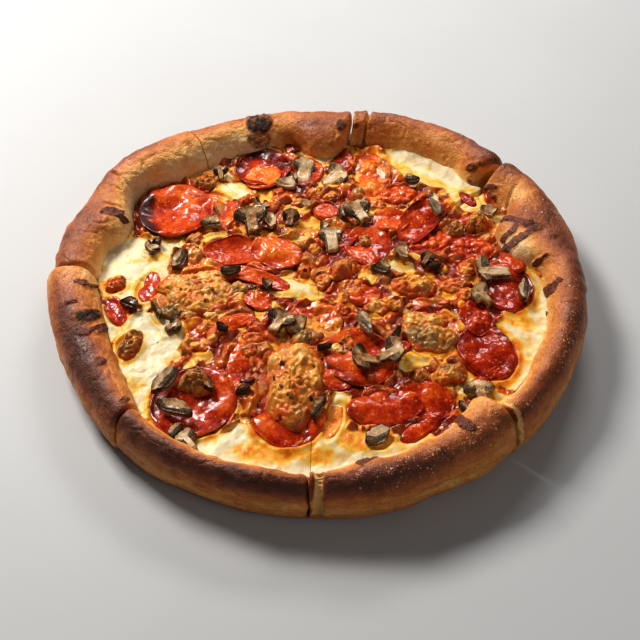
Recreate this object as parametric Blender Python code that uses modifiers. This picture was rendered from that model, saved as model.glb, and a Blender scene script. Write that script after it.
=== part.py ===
"""A deep dish pizza, cut into slices that still lie together.

Each slice of crust is one piece of dough: a thin floor under a high rolled rim. The filling of
sauce and melted cheese lies in it, cut along the same lines. Slices of pepperoni, slices of
mushroom and lumps of sausage lie on the filling. Lengths are in millimetres until a mesh is
made, which is in metres. +Z is up, and the origin is at the middle of the underside.
"""

import math
from dataclasses import dataclass

import bmesh
import bpy
import numpy as np
from mathutils import Matrix, Vector
from mathutils.bvhtree import BVHTree

MM = 0.001

# Slices: the angles of the cuts, anticlockwise, in degrees. The first slice is a double.
CUTS = (-45.5, 37.5, 81.2, 125.0, 179.0, 224.0, 268.0, 314.5)
STEPS_PER_SLICE = 10

# Crust and filling, in the section from the middle outwards.
FLOOR = 6.0
RIM_ARC_STEPS = 9
MIDDLE_SHARE = 0.486          # height of the rim's widest place, as a share of its crest
WALL_LEAN = 2.0               # how far the rim's inner wall leans in at its foot
CLEARANCE = 0.4               # between neighbours that touch
EDGE_LEVEL = 21.5             # top of the filling where it meets the rim
HEAP = 5.0                    # how much higher the filling is in the middle
FILLING_RINGS = (0.0, 0.15, 0.30, 0.45, 0.60, 0.73, 0.84, 0.93, 1.0)
CUT_ROUNDING = 0.07           # share by which the rim is smaller at a cut
CUT_ROUNDING_LENGTH = 5.0

# Toppings.
PEPPERONI_THICKNESS = 1.7
PEPPERONI_SIDES = 14
MUSHROOM_THICKNESS = 3.2
SAUSAGE_FOOT = 0.35           # share of a lump's half height that is left below its middle
LAYING_GRID = 1.5
LAYING_REACH = 135.0
LAYING_GAP = 0.6

# The sections are drawn about the point where the cuts cross, which is not the middle of the box.
CROSSING = (1.0, 0.6)

CRUST_FINISH = ("crust", (0.50, 0.25, 0.09), 0.75)
FILLING_FINISH = ("filling", (0.80, 0.45, 0.18), 0.40)
PEPPERONI_FINISH = ("pepperoni", (0.50, 0.06, 0.03), 0.35)
MUSHROOM_FINISH = ("mushroom", (0.36, 0.27, 0.18), 0.50)
SAUSAGE_FINISH = ("sausage", (0.42, 0.21, 0.09), 0.45)


@dataclass(frozen=True)
class Slice:
    """One slice of crust: each triple holds its value at the first cut, midway and at the last.

    Spans counts the eighths of the pizza that it holds, and push is how far it lies out.
    """
    spans: int
    outer: tuple
    inner: tuple
    crest: tuple
    push: float


SLICES = (
    Slice(2, (150.5, 153.0, 152.5), (128.5, 131.0, 126.5), (36.0, 35.5, 38.5), 0.5),
    Slice(1, (152.0, 153.0, 148.0), (127.5, 128.5, 124.0), (38.0, 37.0, 37.5), 0.9),
    Slice(1, (148.0, 145.5, 152.0), (124.0, 120.0, 121.5), (38.5, 37.5, 38.5), 0.8),
    Slice(1, (154.5, 157.5, 153.5), (122.0, 126.5, 127.0), (39.0, 38.5, 36.0), 0.8),
    Slice(1, (157.5, 152.0, 151.0), (127.0, 122.5, 131.0), (36.0, 35.0, 34.0), 0.8),
    Slice(1, (149.5, 148.5, 148.0), (131.5, 131.5, 130.5), (33.0, 33.0, 33.0), 0.9),
    Slice(1, (148.5, 149.5, 149.0), (128.5, 124.5, 118.5), (34.0, 37.0, 38.5), 0.9),
)

# Places where the rim leans into the dish or swells outwards: angle, size and half width.
INWARD_BULGES = (
    (15.0, 17.0, 7.0),
    (88.0, 14.0, 7.0),
    (144.0, -5.0, 6.0),
    (160.0, 6.0, 5.0),
)
OUTWARD_BULGES = (
    (21.0, 4.5, 12.0),
    (95.0, 1.5, 7.0),
)


@dataclass(frozen=True)
class Pepperoni:
    """A slice of pepperoni: place, half sizes, turn, rise of its edge and rise of its long sides."""
    x: float
    y: float
    half_length: float
    half_width: float
    turn: float
    cup: float
    fold: float


@dataclass(frozen=True)
class Mushroom:
    """A slice of mushroom, without a stem where its length is 0. Turn is where its crown points."""
    x: float
    y: float
    cap_width: float
    cap_height: float
    stem_width: float
    stem_length: float
    turn: float


@dataclass(frozen=True)
class Sausage:
    """A lump of cooked sausage: place, half sizes, height and turn."""
    x: float
    y: float
    half_length: float
    half_width: float
    height: float
    turn: float


PEPPERONIS = (
    Pepperoni(-69, 57, 20, 19.5, 0, 0, 0),
    Pepperoni(-87, 56, 22.5, 21.5, 0, 3.0, 0),
    Pepperoni(-35, 96, 18, 18, 20, 4.0, 0),
    Pepperoni(32, 92, 25, 11.5, 88, 0, -4.0),
    Pepperoni(-50, 22, 18, 13, 15, 1.0, 3.0),
    Pepperoni(-25, 19, 17, 14, 70, 2.0, 0),
    Pepperoni(-98, -5, 12, 7, 80, 0, -2.0),
    Pepperoni(-67, -86, 23, 21, 0, 2.5, 0),
    Pepperoni(-16, -95, 20, 20, 0, 1.0, 0),
    Pepperoni(57, -84, 16, 12, -10, 1.0, 0),
    Pepperoni(35, -90, 20, 11, 10, 0, -3.0),
    Pepperoni(92.5, -52, 20, 16.5, 100, 1.5, 0),
    Pepperoni(108, -3, 19, 16, 95, 1.5, 0),
    Pepperoni(22, -58, 20, 19, 0, 2.5, 0),
    Pepperoni(-3, -31, 17, 14, 0, 1.0, 0),
    Pepperoni(29, 27, 17, 14, 90, 1.5, 0),
    Pepperoni(62, 49, 24, 11, 55, 0, 4.0),
    Pepperoni(-115, -22, 12, 6, -63, 0, 2.0),
)

MUSHROOMS = (
    Mushroom(-9, 96, 13, 9, 8, 9, 80),
    Mushroom(11, 88, 17, 10, 7, 6, 30),
    Mushroom(-41, 44, 19, 11, 7, 6, 100),
    Mushroom(23, 51, 18, 11, 7, 5, 120),
    Mushroom(7, 32, 15, 9, 8, 8, 100),
    Mushroom(-81, 13, 21, 8, 0, 0, 165),
    Mushroom(-21, -35, 17, 9, 6, 5, 60),
    Mushroom(-82, -77, 22, 8, 0, 0, 150),
    Mushroom(-76, -94, 20, 8, 0, 0, 68),
    Mushroom(24, -63, 17, 9, 7, 6, 190),
    Mushroom(40, -58, 16, 10, 6, 5, 20),
    Mushroom(27, -39, 20, 9, 0, 0, 35),
    Mushroom(70, 56, 21, 9, 0, 0, 15),
    Mushroom(97, 4, 21, 9, 7, 11, 185),
    Mushroom(31, -110, 17, 9, 0, 0, 120),
    Mushroom(86, -79, 17, 9, 6, 5, 100),
)

SAUSAGES = (
    Sausage(-71, 86, 8, 8, 9, 70),
    Sausage(-117, -2, 6.5, 6, 8, 0),
    Sausage(-105, -47, 8.5, 7, 9, 80),
    Sausage(-72, -11, 17.5, 13, 11, 5),
    Sausage(-15, -77, 23, 14, 12, 95),
    Sausage(-65, -74, 8, 7.5, 9, 20),
    Sausage(13, 5, 8, 6.5, 9, 75),
    Sausage(60, -40, 15, 13.5, 12, 40),
    Sausage(56, -6, 12, 10, 9, 0),
    Sausage(81, 42, 7, 6, 8, 30),
    Sausage(95, 47, 9, 6, 9, 70),
    Sausage(71, -68, 7.5, 6.5, 8, 10),
)


def through_three(values, share):
    """Smooth value at share 0 to 1 of the way through its first, middle and last values."""
    first, middle, last = values
    return (first * (1 - share) * (1 - 2 * share)
            + middle * 4 * share * (1 - share)
            + last * share * (2 * share - 1))


def swelling(places, angle):
    """Sum of smooth bumps, each given by its angle, its size and its half width, in degrees."""
    total = 0.0
    for centre, size, half_width in places:
        away = (angle - centre + 180.0) % 360.0 - 180.0
        total += size * math.exp(-(away / half_width) ** 2)
    return total


def filling_level(x, y):
    """Height of the filling's top: a low heap with soft waves."""
    heap = HEAP * (1.0 - (x * x + y * y) / 125.0 ** 2)
    waves = 0.5 * np.sin(x / 19.0 + 1.0) * np.cos(y / 16.0) + 0.4 * np.sin((x + y) / 25.0)
    return EDGE_LEVEL + heap + waves


def upward(x, y):
    """Direction at right angles to the filling's top."""
    step = 6.0
    slope_x = (filling_level(x + step, y) - filling_level(x - step, y)) / (2 * step)
    slope_y = (filling_level(x, y + step) - filling_level(x, y - step)) / (2 * step)
    return Vector((-slope_x, -slope_y, 1.0)).normalized()


def rim_at(part, share, angle, width):
    """Inner radius, outer radius and crest height of a slice's rim at one of its sections."""
    arc = math.radians(width) * 150.0
    to_cut = min(share, 1.0 - share) * arc
    rounding = CUT_ROUNDING * math.exp(-to_cut / CUT_ROUNDING_LENGTH)
    inner = through_three(part.inner, share) - swelling(INWARD_BULGES, angle)
    outer = through_three(part.outer, share) + swelling(OUTWARD_BULGES, angle)
    half = 0.5 * (outer - inner) * rounding
    return inner, outer - 2 * half, through_three(part.crest, share) * (1 - rounding)


def crust_section(inner, outer, crest):
    """Outline of the crust from the middle outwards: floor, round rim and inner wall."""
    middle, half = 0.5 * (inner + outer), 0.5 * (outer - inner)
    level = MIDDLE_SHARE * crest
    rise = crest - level
    base = -math.asin(level / rise)
    outline = [(0.0, 0.0)]
    for step in range(RIM_ARC_STEPS + 1):
        turn = base + (math.pi - base) * step / RIM_ARC_STEPS
        height = level + rise * math.sin(turn)
        outline.append((middle + half * math.cos(turn), max(height, 0.0)))
    return outline + [(inner - WALL_LEAN, FLOOR), (0.0, FLOOR)]


def filling_section(inner, angle):
    """Outline of the filling: flat on the floor, up the rim's wall and back over its top."""
    reach = inner - CLEARANCE
    low = FLOOR + CLEARANCE
    outline = [(0.0, low), (reach - WALL_LEAN, low)]
    for share in reversed(FILLING_RINGS):
        radius = reach * share
        x, y = radius * math.cos(angle), radius * math.sin(angle)
        outline.append((radius, filling_level(x, y)))
    return outline


def loft(sections, angles):
    """Closed wedge through radial outlines, each turned to its own angle about the Z axis."""
    mesh = bmesh.new()
    rings = []
    for outline, angle in zip(sections, angles):
        across = (math.cos(angle) * MM, math.sin(angle) * MM)
        rings.append([mesh.verts.new((r * across[0], r * across[1], z * MM)) for r, z in outline])
    count = len(rings[0])
    for near, far in zip(rings, rings[1:]):
        for i in range(count):
            j = (i + 1) % count
            mesh.faces.new((near[i], near[j], far[j], far[i]))
    mesh.faces.new(reversed(rings[0]))
    mesh.faces.new(rings[-1])
    bmesh.ops.remove_doubles(mesh, verts=mesh.verts, dist=1e-6)
    bmesh.ops.recalc_face_normals(mesh, faces=mesh.faces)
    return mesh


def finish_material(finish):
    """The material of one kind of food, made once."""
    name, colour, roughness = finish
    material = bpy.data.materials.get(name)
    if material is None:
        material = bpy.data.materials.new(name)
        material.use_nodes = True
        shader = material.node_tree.nodes["Principled BSDF"]
        shader.inputs["Base Color"].default_value = (*colour, 1.0)
        shader.inputs["Roughness"].default_value = roughness
        shader.inputs["Metallic"].default_value = 0.0
    return material


def add_object(name, mesh, finish, collection):
    """A new object from a bmesh, which is freed, under the empty that carries the pizza."""
    data = bpy.data.meshes.new(name)
    mesh.to_mesh(data)
    mesh.free()
    data.materials.append(finish_material(finish))
    piece = bpy.data.objects.new(name, data)
    piece.parent = bpy.data.objects["pizza"]
    collection.objects.link(piece)
    return piece


def make_slices(collection):
    """All slices of crust with the filling in each, pushed apart a little along their middles."""
    for number, (part, start, end) in enumerate(zip(SLICES, CUTS, CUTS[1:]), 1):
        width = end - start
        shares = np.linspace(0.0, 1.0, STEPS_PER_SLICE * part.spans + 1)
        crust, filling, angles = [], [], []
        for share in shares:
            angle = start + width * share
            inner, outer, crest = rim_at(part, share, angle, width)
            crust.append(crust_section(inner, outer, crest))
            filling.append(filling_section(inner, math.radians(angle)))
            angles.append(math.radians(angle))
        middle = math.radians(start + 0.5 * width)
        place = (part.push * MM * math.cos(middle), part.push * MM * math.sin(middle), 0.0)
        for name, sections, finish in (("crust", crust, CRUST_FINISH),
                                       ("filling", filling, FILLING_FINISH)):
            wedge = loft(sections, angles)
            piece = add_object(f"{name}_slice_{number}", wedge, finish, collection)
            piece.location = place


class Bed:
    """Heights of what lies in the dish, on a square grid, so that the next topping lies on it."""

    def __init__(self):
        count = int(2 * LAYING_REACH / LAYING_GRID) + 1
        self.ticks = (np.arange(count) * LAYING_GRID - LAYING_REACH)
        x, y = np.meshgrid(self.ticks, self.ticks, indexing="ij")
        self.heights = filling_level(x, y)

    def lay(self, piece):
        """Brings a piece down until it nearly touches what is under it."""
        bpy.context.view_layer.update()
        shape = piece.evaluated_get(bpy.context.evaluated_depsgraph_get())
        mesh = shape.to_mesh()
        corners = [piece.matrix_world @ v.co / MM for v in mesh.vertices]
        tree = BVHTree.FromPolygons(corners, [tuple(f.vertices) for f in mesh.polygons])
        low = np.min(np.array(corners), axis=0)
        high = np.max(np.array(corners), axis=0)
        shape.to_mesh_clear()
        hits = []
        for i in np.flatnonzero((self.ticks > low[0]) & (self.ticks < high[0])):
            for j in np.flatnonzero((self.ticks > low[1]) & (self.ticks < high[1])):
                x, y = self.ticks[i], self.ticks[j]
                under = tree.ray_cast(Vector((x, y, low[2] - 1.0)), Vector((0, 0, 1)))[0]
                if under is not None:
                    over = tree.ray_cast(Vector((x, y, high[2] + 1.0)), Vector((0, 0, -1)))[0]
                    hits.append((i, j, under.z, over.z))
        nearby = self.heights.copy()
        for axis in (0, 1):
            for step in (-1, 1):
                nearby = np.maximum(nearby, np.roll(self.heights, step, axis))
        lift = max(nearby[i, j] - under for i, j, under, _ in hits) + LAYING_GAP
        for i, j, _, over in hits:
            self.heights[i, j] = over + lift
        piece.location.z += lift * MM


def set_on_filling(piece, x, y, turn):
    """Turns a piece about its own axis and tips it to the filling's slope at its place."""
    tip = upward(x, y).to_track_quat("Z", "Y").to_matrix().to_4x4()
    spin = Matrix.Rotation(math.radians(turn), 4, "Z")
    align = tip @ Matrix.Rotation(-tip.to_euler().z, 4, "Z")
    piece.matrix_world = Matrix.Translation((x * MM, y * MM, 0.0)) @ align @ spin


def make_pepperoni(name, slice_, collection):
    """A thin slice that curls: a round sheet with a raised edge or raised sides, given thickness."""
    mesh = bmesh.new()
    spoke = [mesh.verts.new((share, 0.0, 0.0)) for share in (0.0, 0.55, 1.0)]
    edges = [mesh.edges.new(pair) for pair in zip(spoke, spoke[1:])]
    bmesh.ops.spin(mesh, geom=spoke + edges, cent=(0, 0, 0), axis=(0, 0, 1),
                   angle=math.tau, steps=PEPPERONI_SIDES, use_merge=False)
    bmesh.ops.remove_doubles(mesh, verts=mesh.verts, dist=1e-5)
    bmesh.ops.recalc_face_normals(mesh, faces=mesh.faces)
    for corner in mesh.verts:
        along, across, _ = corner.co
        rise = slice_.cup * (along * along + across * across) + slice_.fold * across * across
        corner.co = (along * slice_.half_length * MM, across * slice_.half_width * MM, rise * MM)
    piece = add_object(name, mesh, PEPPERONI_FINISH, collection)
    wall = piece.modifiers.new("Thickness", "SOLIDIFY")
    wall.thickness = PEPPERONI_THICKNESS * MM
    wall.offset = 0.0
    return piece


def mushroom_outline(slice_):
    """Outline of a cut mushroom: a round crown, a hollow under the cap and a stem."""
    half, top = 0.5 * slice_.cap_width, slice_.cap_height
    outline = []
    for step in range(8):
        turn = math.pi * step / 7
        outline.append((half * math.cos(turn), top * math.sin(turn)))
    if slice_.stem_length:
        stem, foot = 0.5 * slice_.stem_width, -slice_.stem_length
        outline += [(-0.75 * half, -0.12 * top), (-stem, 0.15 * top), (-stem, 0.6 * foot)]
        outline += [(-0.8 * stem, foot), (0.8 * stem, foot)]
        outline += [(stem, 0.6 * foot), (stem, 0.15 * top), (0.75 * half, -0.12 * top)]
    else:
        outline += [(-0.6 * half, -0.22 * top), (0.0, -0.3 * top), (0.6 * half, -0.22 * top)]
    middle = 0.5 * (top - max(slice_.stem_length, 0.3 * top))
    return [(x, y - middle) for x, y in outline]


def make_mushroom(name, slice_, collection):
    """A flat outline given thickness, made a mesh so that it can be laid on the others."""
    flat = bpy.data.curves.new(name, "CURVE")
    flat.dimensions = "2D"
    flat.fill_mode = "BOTH"
    flat.extrude = 0.5 * MUSHROOM_THICKNESS * MM
    outline = mushroom_outline(slice_)
    path = flat.splines.new("POLY")
    path.points.add(len(outline) - 1)
    for point, (x, y) in zip(path.points, outline):
        point.co = (x * MM, y * MM, 0.0, 1.0)
    path.use_cyclic_u = True
    guide = bpy.data.objects.new(name, flat)
    collection.objects.link(guide)
    bpy.context.view_layer.update()
    solid = bpy.data.meshes.new_from_object(guide.evaluated_get(bpy.context.evaluated_depsgraph_get()))
    bpy.data.objects.remove(guide)
    mesh = bmesh.new()
    mesh.from_mesh(solid)
    bpy.data.meshes.remove(solid)
    bmesh.ops.remove_doubles(mesh, verts=mesh.verts, dist=1e-5)
    bmesh.ops.recalc_face_normals(mesh, faces=mesh.faces)
    return add_object(name, mesh, MUSHROOM_FINISH, collection)


def make_sausage(name, lump, number, collection):
    """An uneven ball with a flat underside."""
    mesh = bmesh.new()
    bmesh.ops.create_icosphere(mesh, subdivisions=3 if lump.half_length > 14 else 2, radius=1.0)
    half_height = lump.height / (1.0 + SAUSAGE_FOOT)
    for corner in mesh.verts:
        x, y, z = corner.co
        knobs = 0.08 * math.sin(4.1 * x + number) * math.cos(3.7 * y - number)
        knobs += 0.06 * math.sin(6.3 * y + 2.0 * number) * math.cos(5.2 * z)
        size = 1.0 + knobs
        corner.co = (x * size * lump.half_length * MM, y * size * lump.half_width * MM,
                     max(z * size, -SAUSAGE_FOOT) * half_height * MM)
    return add_object(name, mesh, SAUSAGE_FINISH, collection)


def make_toppings(collection):
    """Lays the toppings one after the other on the filling."""
    bed = Bed()
    for number, slice_ in enumerate(PEPPERONIS, 1):
        piece = make_pepperoni(f"pepperoni_{number:02d}", slice_, collection)
        set_on_filling(piece, slice_.x, slice_.y, slice_.turn)
        bed.lay(piece)
    for number, lump in enumerate(SAUSAGES, 1):
        piece = make_sausage(f"sausage_{number:02d}", lump, number, collection)
        set_on_filling(piece, lump.x, lump.y, lump.turn)
        bed.lay(piece)
    for number, slice_ in enumerate(MUSHROOMS, 1):
        piece = make_mushroom(f"mushroom_{number:02d}", slice_, collection)
        set_on_filling(piece, slice_.x, slice_.y, slice_.turn - 90.0)
        bed.lay(piece)


def main():
    """Clears the scene and builds the pizza."""
    for old in list(bpy.data.objects):
        bpy.data.objects.remove(old)
    collection = bpy.data.collections.new("deep_dish_pizza")
    bpy.context.scene.collection.children.link(collection)
    carrier = bpy.data.objects.new("pizza", None)
    collection.objects.link(carrier)
    make_slices(collection)
    make_toppings(collection)
    carrier.location = (CROSSING[0] * MM, CROSSING[1] * MM, 0.0)


main()
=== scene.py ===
"""The looks of a deep dish pizza: dough, melted cheese and sauce, and what lies on them.

Lengths are in millimetres while a shape is worked out, and a mesh is made in metres. Shapes are
drawn about the point where the cuts cross, and each topping's middle and height are read from the
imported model. Angles are in degrees, anticlockwise from +X, and x and y run across and back. A
seed chooses one of many fields of unevenness.
"""

import functools
import itertools
import logging
import math
from collections.abc import Iterable
from dataclasses import dataclass, field
from enum import Enum
from typing import ClassVar

import bpy
import numpy as np
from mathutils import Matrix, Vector

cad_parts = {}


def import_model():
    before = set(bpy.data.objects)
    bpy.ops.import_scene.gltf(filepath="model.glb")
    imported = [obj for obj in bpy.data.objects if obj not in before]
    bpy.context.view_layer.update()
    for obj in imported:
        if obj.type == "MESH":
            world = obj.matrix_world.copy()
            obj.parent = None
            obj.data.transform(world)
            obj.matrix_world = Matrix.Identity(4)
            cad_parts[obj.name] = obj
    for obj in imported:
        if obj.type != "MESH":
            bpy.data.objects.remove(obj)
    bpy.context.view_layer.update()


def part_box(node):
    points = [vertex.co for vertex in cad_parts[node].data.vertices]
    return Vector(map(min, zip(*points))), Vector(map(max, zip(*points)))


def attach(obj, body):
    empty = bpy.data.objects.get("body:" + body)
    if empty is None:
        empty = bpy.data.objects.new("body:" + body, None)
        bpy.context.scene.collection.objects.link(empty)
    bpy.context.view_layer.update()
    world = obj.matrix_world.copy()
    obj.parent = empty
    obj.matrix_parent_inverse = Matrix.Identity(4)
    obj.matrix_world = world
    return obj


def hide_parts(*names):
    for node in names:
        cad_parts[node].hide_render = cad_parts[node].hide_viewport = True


log = logging.getLogger("pizza")

Array = np.ndarray
Triple = tuple[float, float, float]
Stops = tuple[tuple[float, Triple], ...]
Socket = bpy.types.NodeSocket
Node = bpy.types.Node
Material = bpy.types.Material

MM = 0.001
CROSSING = (1.0, 0.6)
FLOOR_OF_DOUGH = 6.0
RIM_RADIUS = 145.0
CUTS = (-45.5, 37.5, 81.2, 125.0, 179.0, 224.0, 268.0, 314.5)
CAST_FROM = (0.0, -464.0, 531.0)


# ---------------------------------------------------------------- unevenness as numbers

VALUES = np.random.default_rng(11).random(8191)
STRIDES = (73856093, 19349663, 83492791)


def lattice_value(cells: Array, seed: int) -> Array:
    """A fixed value from 0 to 1 for each point of a whole-number lattice.

    Args:
        cells: Whole-number coordinates in the last axis, two or three of them.
        seed: The field.

    Returns:
        The coordinates, each times a large prime, joined bit by bit and looked up in a table.
    """
    mixed = np.full(cells.shape[:-1], seed * 7919, dtype=np.int64)
    for axis in range(cells.shape[-1]):
        mixed ^= cells[..., axis] * STRIDES[axis]
    return VALUES[mixed % len(VALUES)]


def waves(points: Array, size: float, seed: int, octaves: int = 1) -> Array:
    """Smooth unevenness from -1 to 1: lattice values joined by the curve 3t^2 - 2t^3.

    Args:
        points: Places, with two or three coordinates in the last axis.
        size: Width of one wave.
        seed: The field.
        octaves: Layers, each of half the width and half the height of the one before.

    Returns:
        One value for each place.
    """
    total = np.zeros(points.shape[:-1])
    for octave in range(octaves):
        scaled = points * (2.0 ** octave / size) + 17.3 * octave
        cells = np.floor(scaled).astype(np.int64)
        part = scaled - cells
        part = part * part * (3.0 - 2.0 * part)
        layer = np.zeros(points.shape[:-1])
        for corner in itertools.product((0, 1), repeat=points.shape[-1]):
            step = np.array(corner)
            weight = np.prod(np.where(step == 1, part, 1.0 - part), axis=-1)
            layer += weight * lattice_value(cells + step, seed + octave)
        total += (2.0 * layer - 1.0) * 0.5 ** octave
    return total / (2.0 - 2.0 * 0.5 ** octaves)


def lumps(points: Array, size: float, seed: int) -> tuple[Array, Array]:
    """Domes of many sizes, one in each cell of a jittered lattice, melted into each other.

    Args:
        points: Places, with two or three coordinates in the last axis.
        size: Mean distance from dome to dome. A dome's radius is 0.32 to 0.66 of it.
        seed: The field.

    Returns:
        The height from 0 to 1, which is the root of the sum of the squared heights of the domes,
        each with a soft foot, and a value from 0 to 1 that the highest dome has to itself.
    """
    scaled = points / size
    cells = np.floor(scaled).astype(np.int64)
    squares, highest, own = (np.zeros(points.shape[:-1]) for _ in range(3))
    for corner in itertools.product((-1, 0, 1), repeat=points.shape[-1]):
        cell = cells + np.array(corner)
        away = np.zeros(points.shape[:-1])
        for axis in range(points.shape[-1]):
            middle = cell[..., axis] + 0.15 + 0.7 * lattice_value(cell, seed + 31 * axis)
            away += (scaled[..., axis] - middle) ** 2
        radius = 0.32 + 0.34 * lattice_value(cell, seed + 101)
        dome = np.clip(1.0 - away / (1.15 * radius) ** 2, 0.0, 1.0) ** 1.2 * radius / 0.66
        own = np.where(dome > highest, lattice_value(cell, seed + 211), own)
        highest = np.maximum(highest, dome)
        squares += dome ** 2
    return np.minimum(np.sqrt(squares), 1.0), own


def ease(value: Array, low: float, high: float) -> Array:
    """Smooth step: 0 below low, 1 above high, and 3t^2 - 2t^3 between them."""
    share = np.clip((value - low) / (high - low), 0.0, 1.0)
    return share * share * (3.0 - 2.0 * share)


def through_three(values: Triple, share: Array) -> Array:
    """The parabola through a first, a middle and a last value, at shares from 0 to 1."""
    first, middle, last = values
    return (first * (1 - share) * (1 - 2 * share) + middle * 4 * share * (1 - share)
            + last * share * (2 * share - 1))


def places(*coordinates: Array) -> Array:
    """Joins coordinates into one array of places."""
    return np.stack(np.broadcast_arrays(*coordinates), axis=-1)


def once_round(count: int) -> tuple[Array, Array]:
    """Even directions round a circle, in radians, and their places on one of radius 2."""
    turn = np.linspace(0.0, math.tau, count, endpoint=False)[None, :]
    return turn, places(np.cos(turn) * 2.0, np.sin(turn) * 2.0)


def turned(x: Array, y: Array, along: Array, across: Array, angle: float) -> tuple[Array, Array]:
    """Where the places along and across a direction from a point lie on the pizza."""
    cos, sin = math.cos(math.radians(angle)), math.sin(math.radians(angle))
    return x + along * cos - across * sin, y + along * sin + across * cos


def cast(points: Array) -> tuple[Array, Array]:
    """Where straight lines from a point above the front, through some places, meet the table."""
    share = points[..., 2] / (CAST_FROM[2] - points[..., 2])
    return (points[..., 0] + (points[..., 0] - CAST_FROM[0]) * share,
            points[..., 1] + (points[..., 1] - CAST_FROM[1]) * share)


@dataclass(frozen=True)
class Oval:
    """An oval on the pizza: middle, half sizes and turn."""
    x: float
    y: float
    half_x: float
    half_y: float
    turn: float = 0.0

    def reach(self, x: Array, y: Array) -> Array:
        """Distance of each place from the middle, as a share of the oval's radius there."""
        along, across = turned(0.0, 0.0, x - self.x, y - self.y, -self.turn)
        return np.hypot(along / self.half_x, across / self.half_y)


@dataclass(frozen=True)
class Patch(Oval):
    """A soft-edged oval with a strength."""
    strength: float = 1.0

    def cover(self, x: Array, y: Array, soft: float = 0.35) -> Array:
        """The strength inside, falling to 0 by a smooth step over a share of the radius."""
        return self.strength * (1.0 - ease(self.reach(x, y), 1.0 - soft, 1.0 + soft))


def strongest(covers: Iterable[Array]) -> Array:
    """The largest of some covers at each place."""
    return functools.reduce(np.maximum, covers)


def cover_of(patches: tuple[Patch, ...], x: Array, y: Array, soft: float) -> Array:
    """The strongest of some patches at each place."""
    return strongest(patch.cover(x, y, soft) for patch in patches)


# ---------------------------------------------------------------- meshes

@dataclass
class Shape:
    """Points with their faces and painted values, ready to be made a mesh."""
    points: Array
    quads: Array
    triangles: Array
    paint: dict[str, Array] = field(default_factory=dict)
    caps: list[Array] = field(default_factory=list)

    def volume(self) -> float:
        """Signed volume: a sixth of the sum of each corner triple's box product."""
        fans = [self.triangles[:, :3], self.quads[:, [0, 1, 2]], self.quads[:, [0, 2, 3]]]
        p, q, r = (self.points[corner] for corner in np.concatenate(fans).T)
        return float(np.sum(p * np.cross(q, r))) / 6.0

    def outward(self) -> "Shape":
        """The same shape with its faces turned outwards."""
        if self.volume() < 0.0:
            self.quads = self.quads[:, ::-1]
            self.triangles = self.triangles[:, ::-1]
            self.caps = [cap[::-1] for cap in self.caps]
        return self


def joined(shapes: list[Shape]) -> Shape:
    """Several shapes as one, each closed by itself.

    Args:
        shapes: Shapes painted with the same names.

    Returns:
        The points, quads, triangles and paint of all of them.
    """
    counts = np.cumsum([0] + [len(shape.points) for shape in shapes])
    return Shape(
        np.concatenate([shape.points for shape in shapes]),
        np.concatenate([shape.quads + start for shape, start in zip(shapes, counts)]),
        np.concatenate([shape.triangles + start for shape, start in zip(shapes, counts)]),
        {name: np.concatenate([shape.paint[name] for shape in shapes]) for name in shapes[0].paint},
    )


def ring_quads(rings: int, around: int) -> Array:
    """The four-sided faces between rings of points that close on themselves.

    Args:
        rings: How many rings.
        around: How many points each has.

    Returns:
        Four corner numbers for each face.
    """
    row, column = np.meshgrid(np.arange(rings - 1) * around, np.arange(around), indexing="ij")
    beside = (column + 1) % around
    corners = (row + column, row + beside, row + around + beside, row + around + column)
    return np.stack([corner.ravel() for corner in corners], axis=-1)


def ringed(rings: Array, paint: dict[str, Array]) -> Shape:
    """A closed body from rings of points, with a fan of triangles to a pole at each end.

    Args:
        rings: Points, ring by ring, of shape (rings, around, 3).
        paint: Values at the rings' points, which may leave out an axis that they don't change on.

    Returns:
        The body, its poles at the mean of the first and of the last ring.
    """
    count, around = rings.shape[:2]
    points = np.concatenate([rings.reshape(-1, 3), [rings[0].mean(axis=0), rings[-1].mean(axis=0)]])
    column = np.arange(around)
    beside = (column + 1) % around
    last, pole = (count - 1) * around, count * around
    fans = [np.stack([beside, column, np.full(around, pole)], axis=-1),
            np.stack([last + column, last + beside, np.full(around, pole + 1)], axis=-1)]
    values = {}
    for name, value in paint.items():
        whole = np.broadcast_to(value, (count, around))
        values[name] = np.concatenate([whole.ravel(), [whole[0].mean(), whole[-1].mean()]])
    return Shape(points, ring_quads(count, around), np.concatenate(fans), values).outward()


def make_object(name: str, shape: Shape, material: Material) -> bpy.types.Object:
    """Puts a shape into a mesh at its place on the pizza.

    Args:
        name: Name of the object.
        shape: The shape, about the crossing of the cuts.
        material: Its finish.

    Returns:
        The object, at the origin, with its place in its mesh.
    """
    mesh = bpy.data.meshes.new(name)
    spots = (shape.points + np.array([*CROSSING, 0.0])) * MM
    mesh.vertices.add(len(spots))
    mesh.vertices.foreach_set("co", spots.astype(np.float32).ravel())
    corners = np.concatenate([shape.quads.ravel(), shape.triangles.ravel(), *shape.caps]).astype(np.int32)
    sizes = np.array([4] * len(shape.quads) + [3] * len(shape.triangles) + [len(cap) for cap in shape.caps])
    mesh.loops.add(len(corners))
    mesh.loops.foreach_set("vertex_index", corners)
    mesh.polygons.add(len(sizes))
    mesh.polygons.foreach_set("loop_start", (np.cumsum(sizes) - sizes).astype(np.int32))
    mesh.update(calc_edges=True)
    mesh.validate()
    for label, values in shape.paint.items():
        layer = mesh.attributes.new(label, "FLOAT", "POINT")
        layer.data.foreach_set("value", np.clip(values, 0.0, 1.0).astype(np.float32).ravel())
    mesh.materials.append(material)
    mesh.shade_smooth()
    piece = bpy.data.objects.new(name, mesh)
    bpy.context.scene.collection.objects.link(piece)
    return piece


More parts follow.
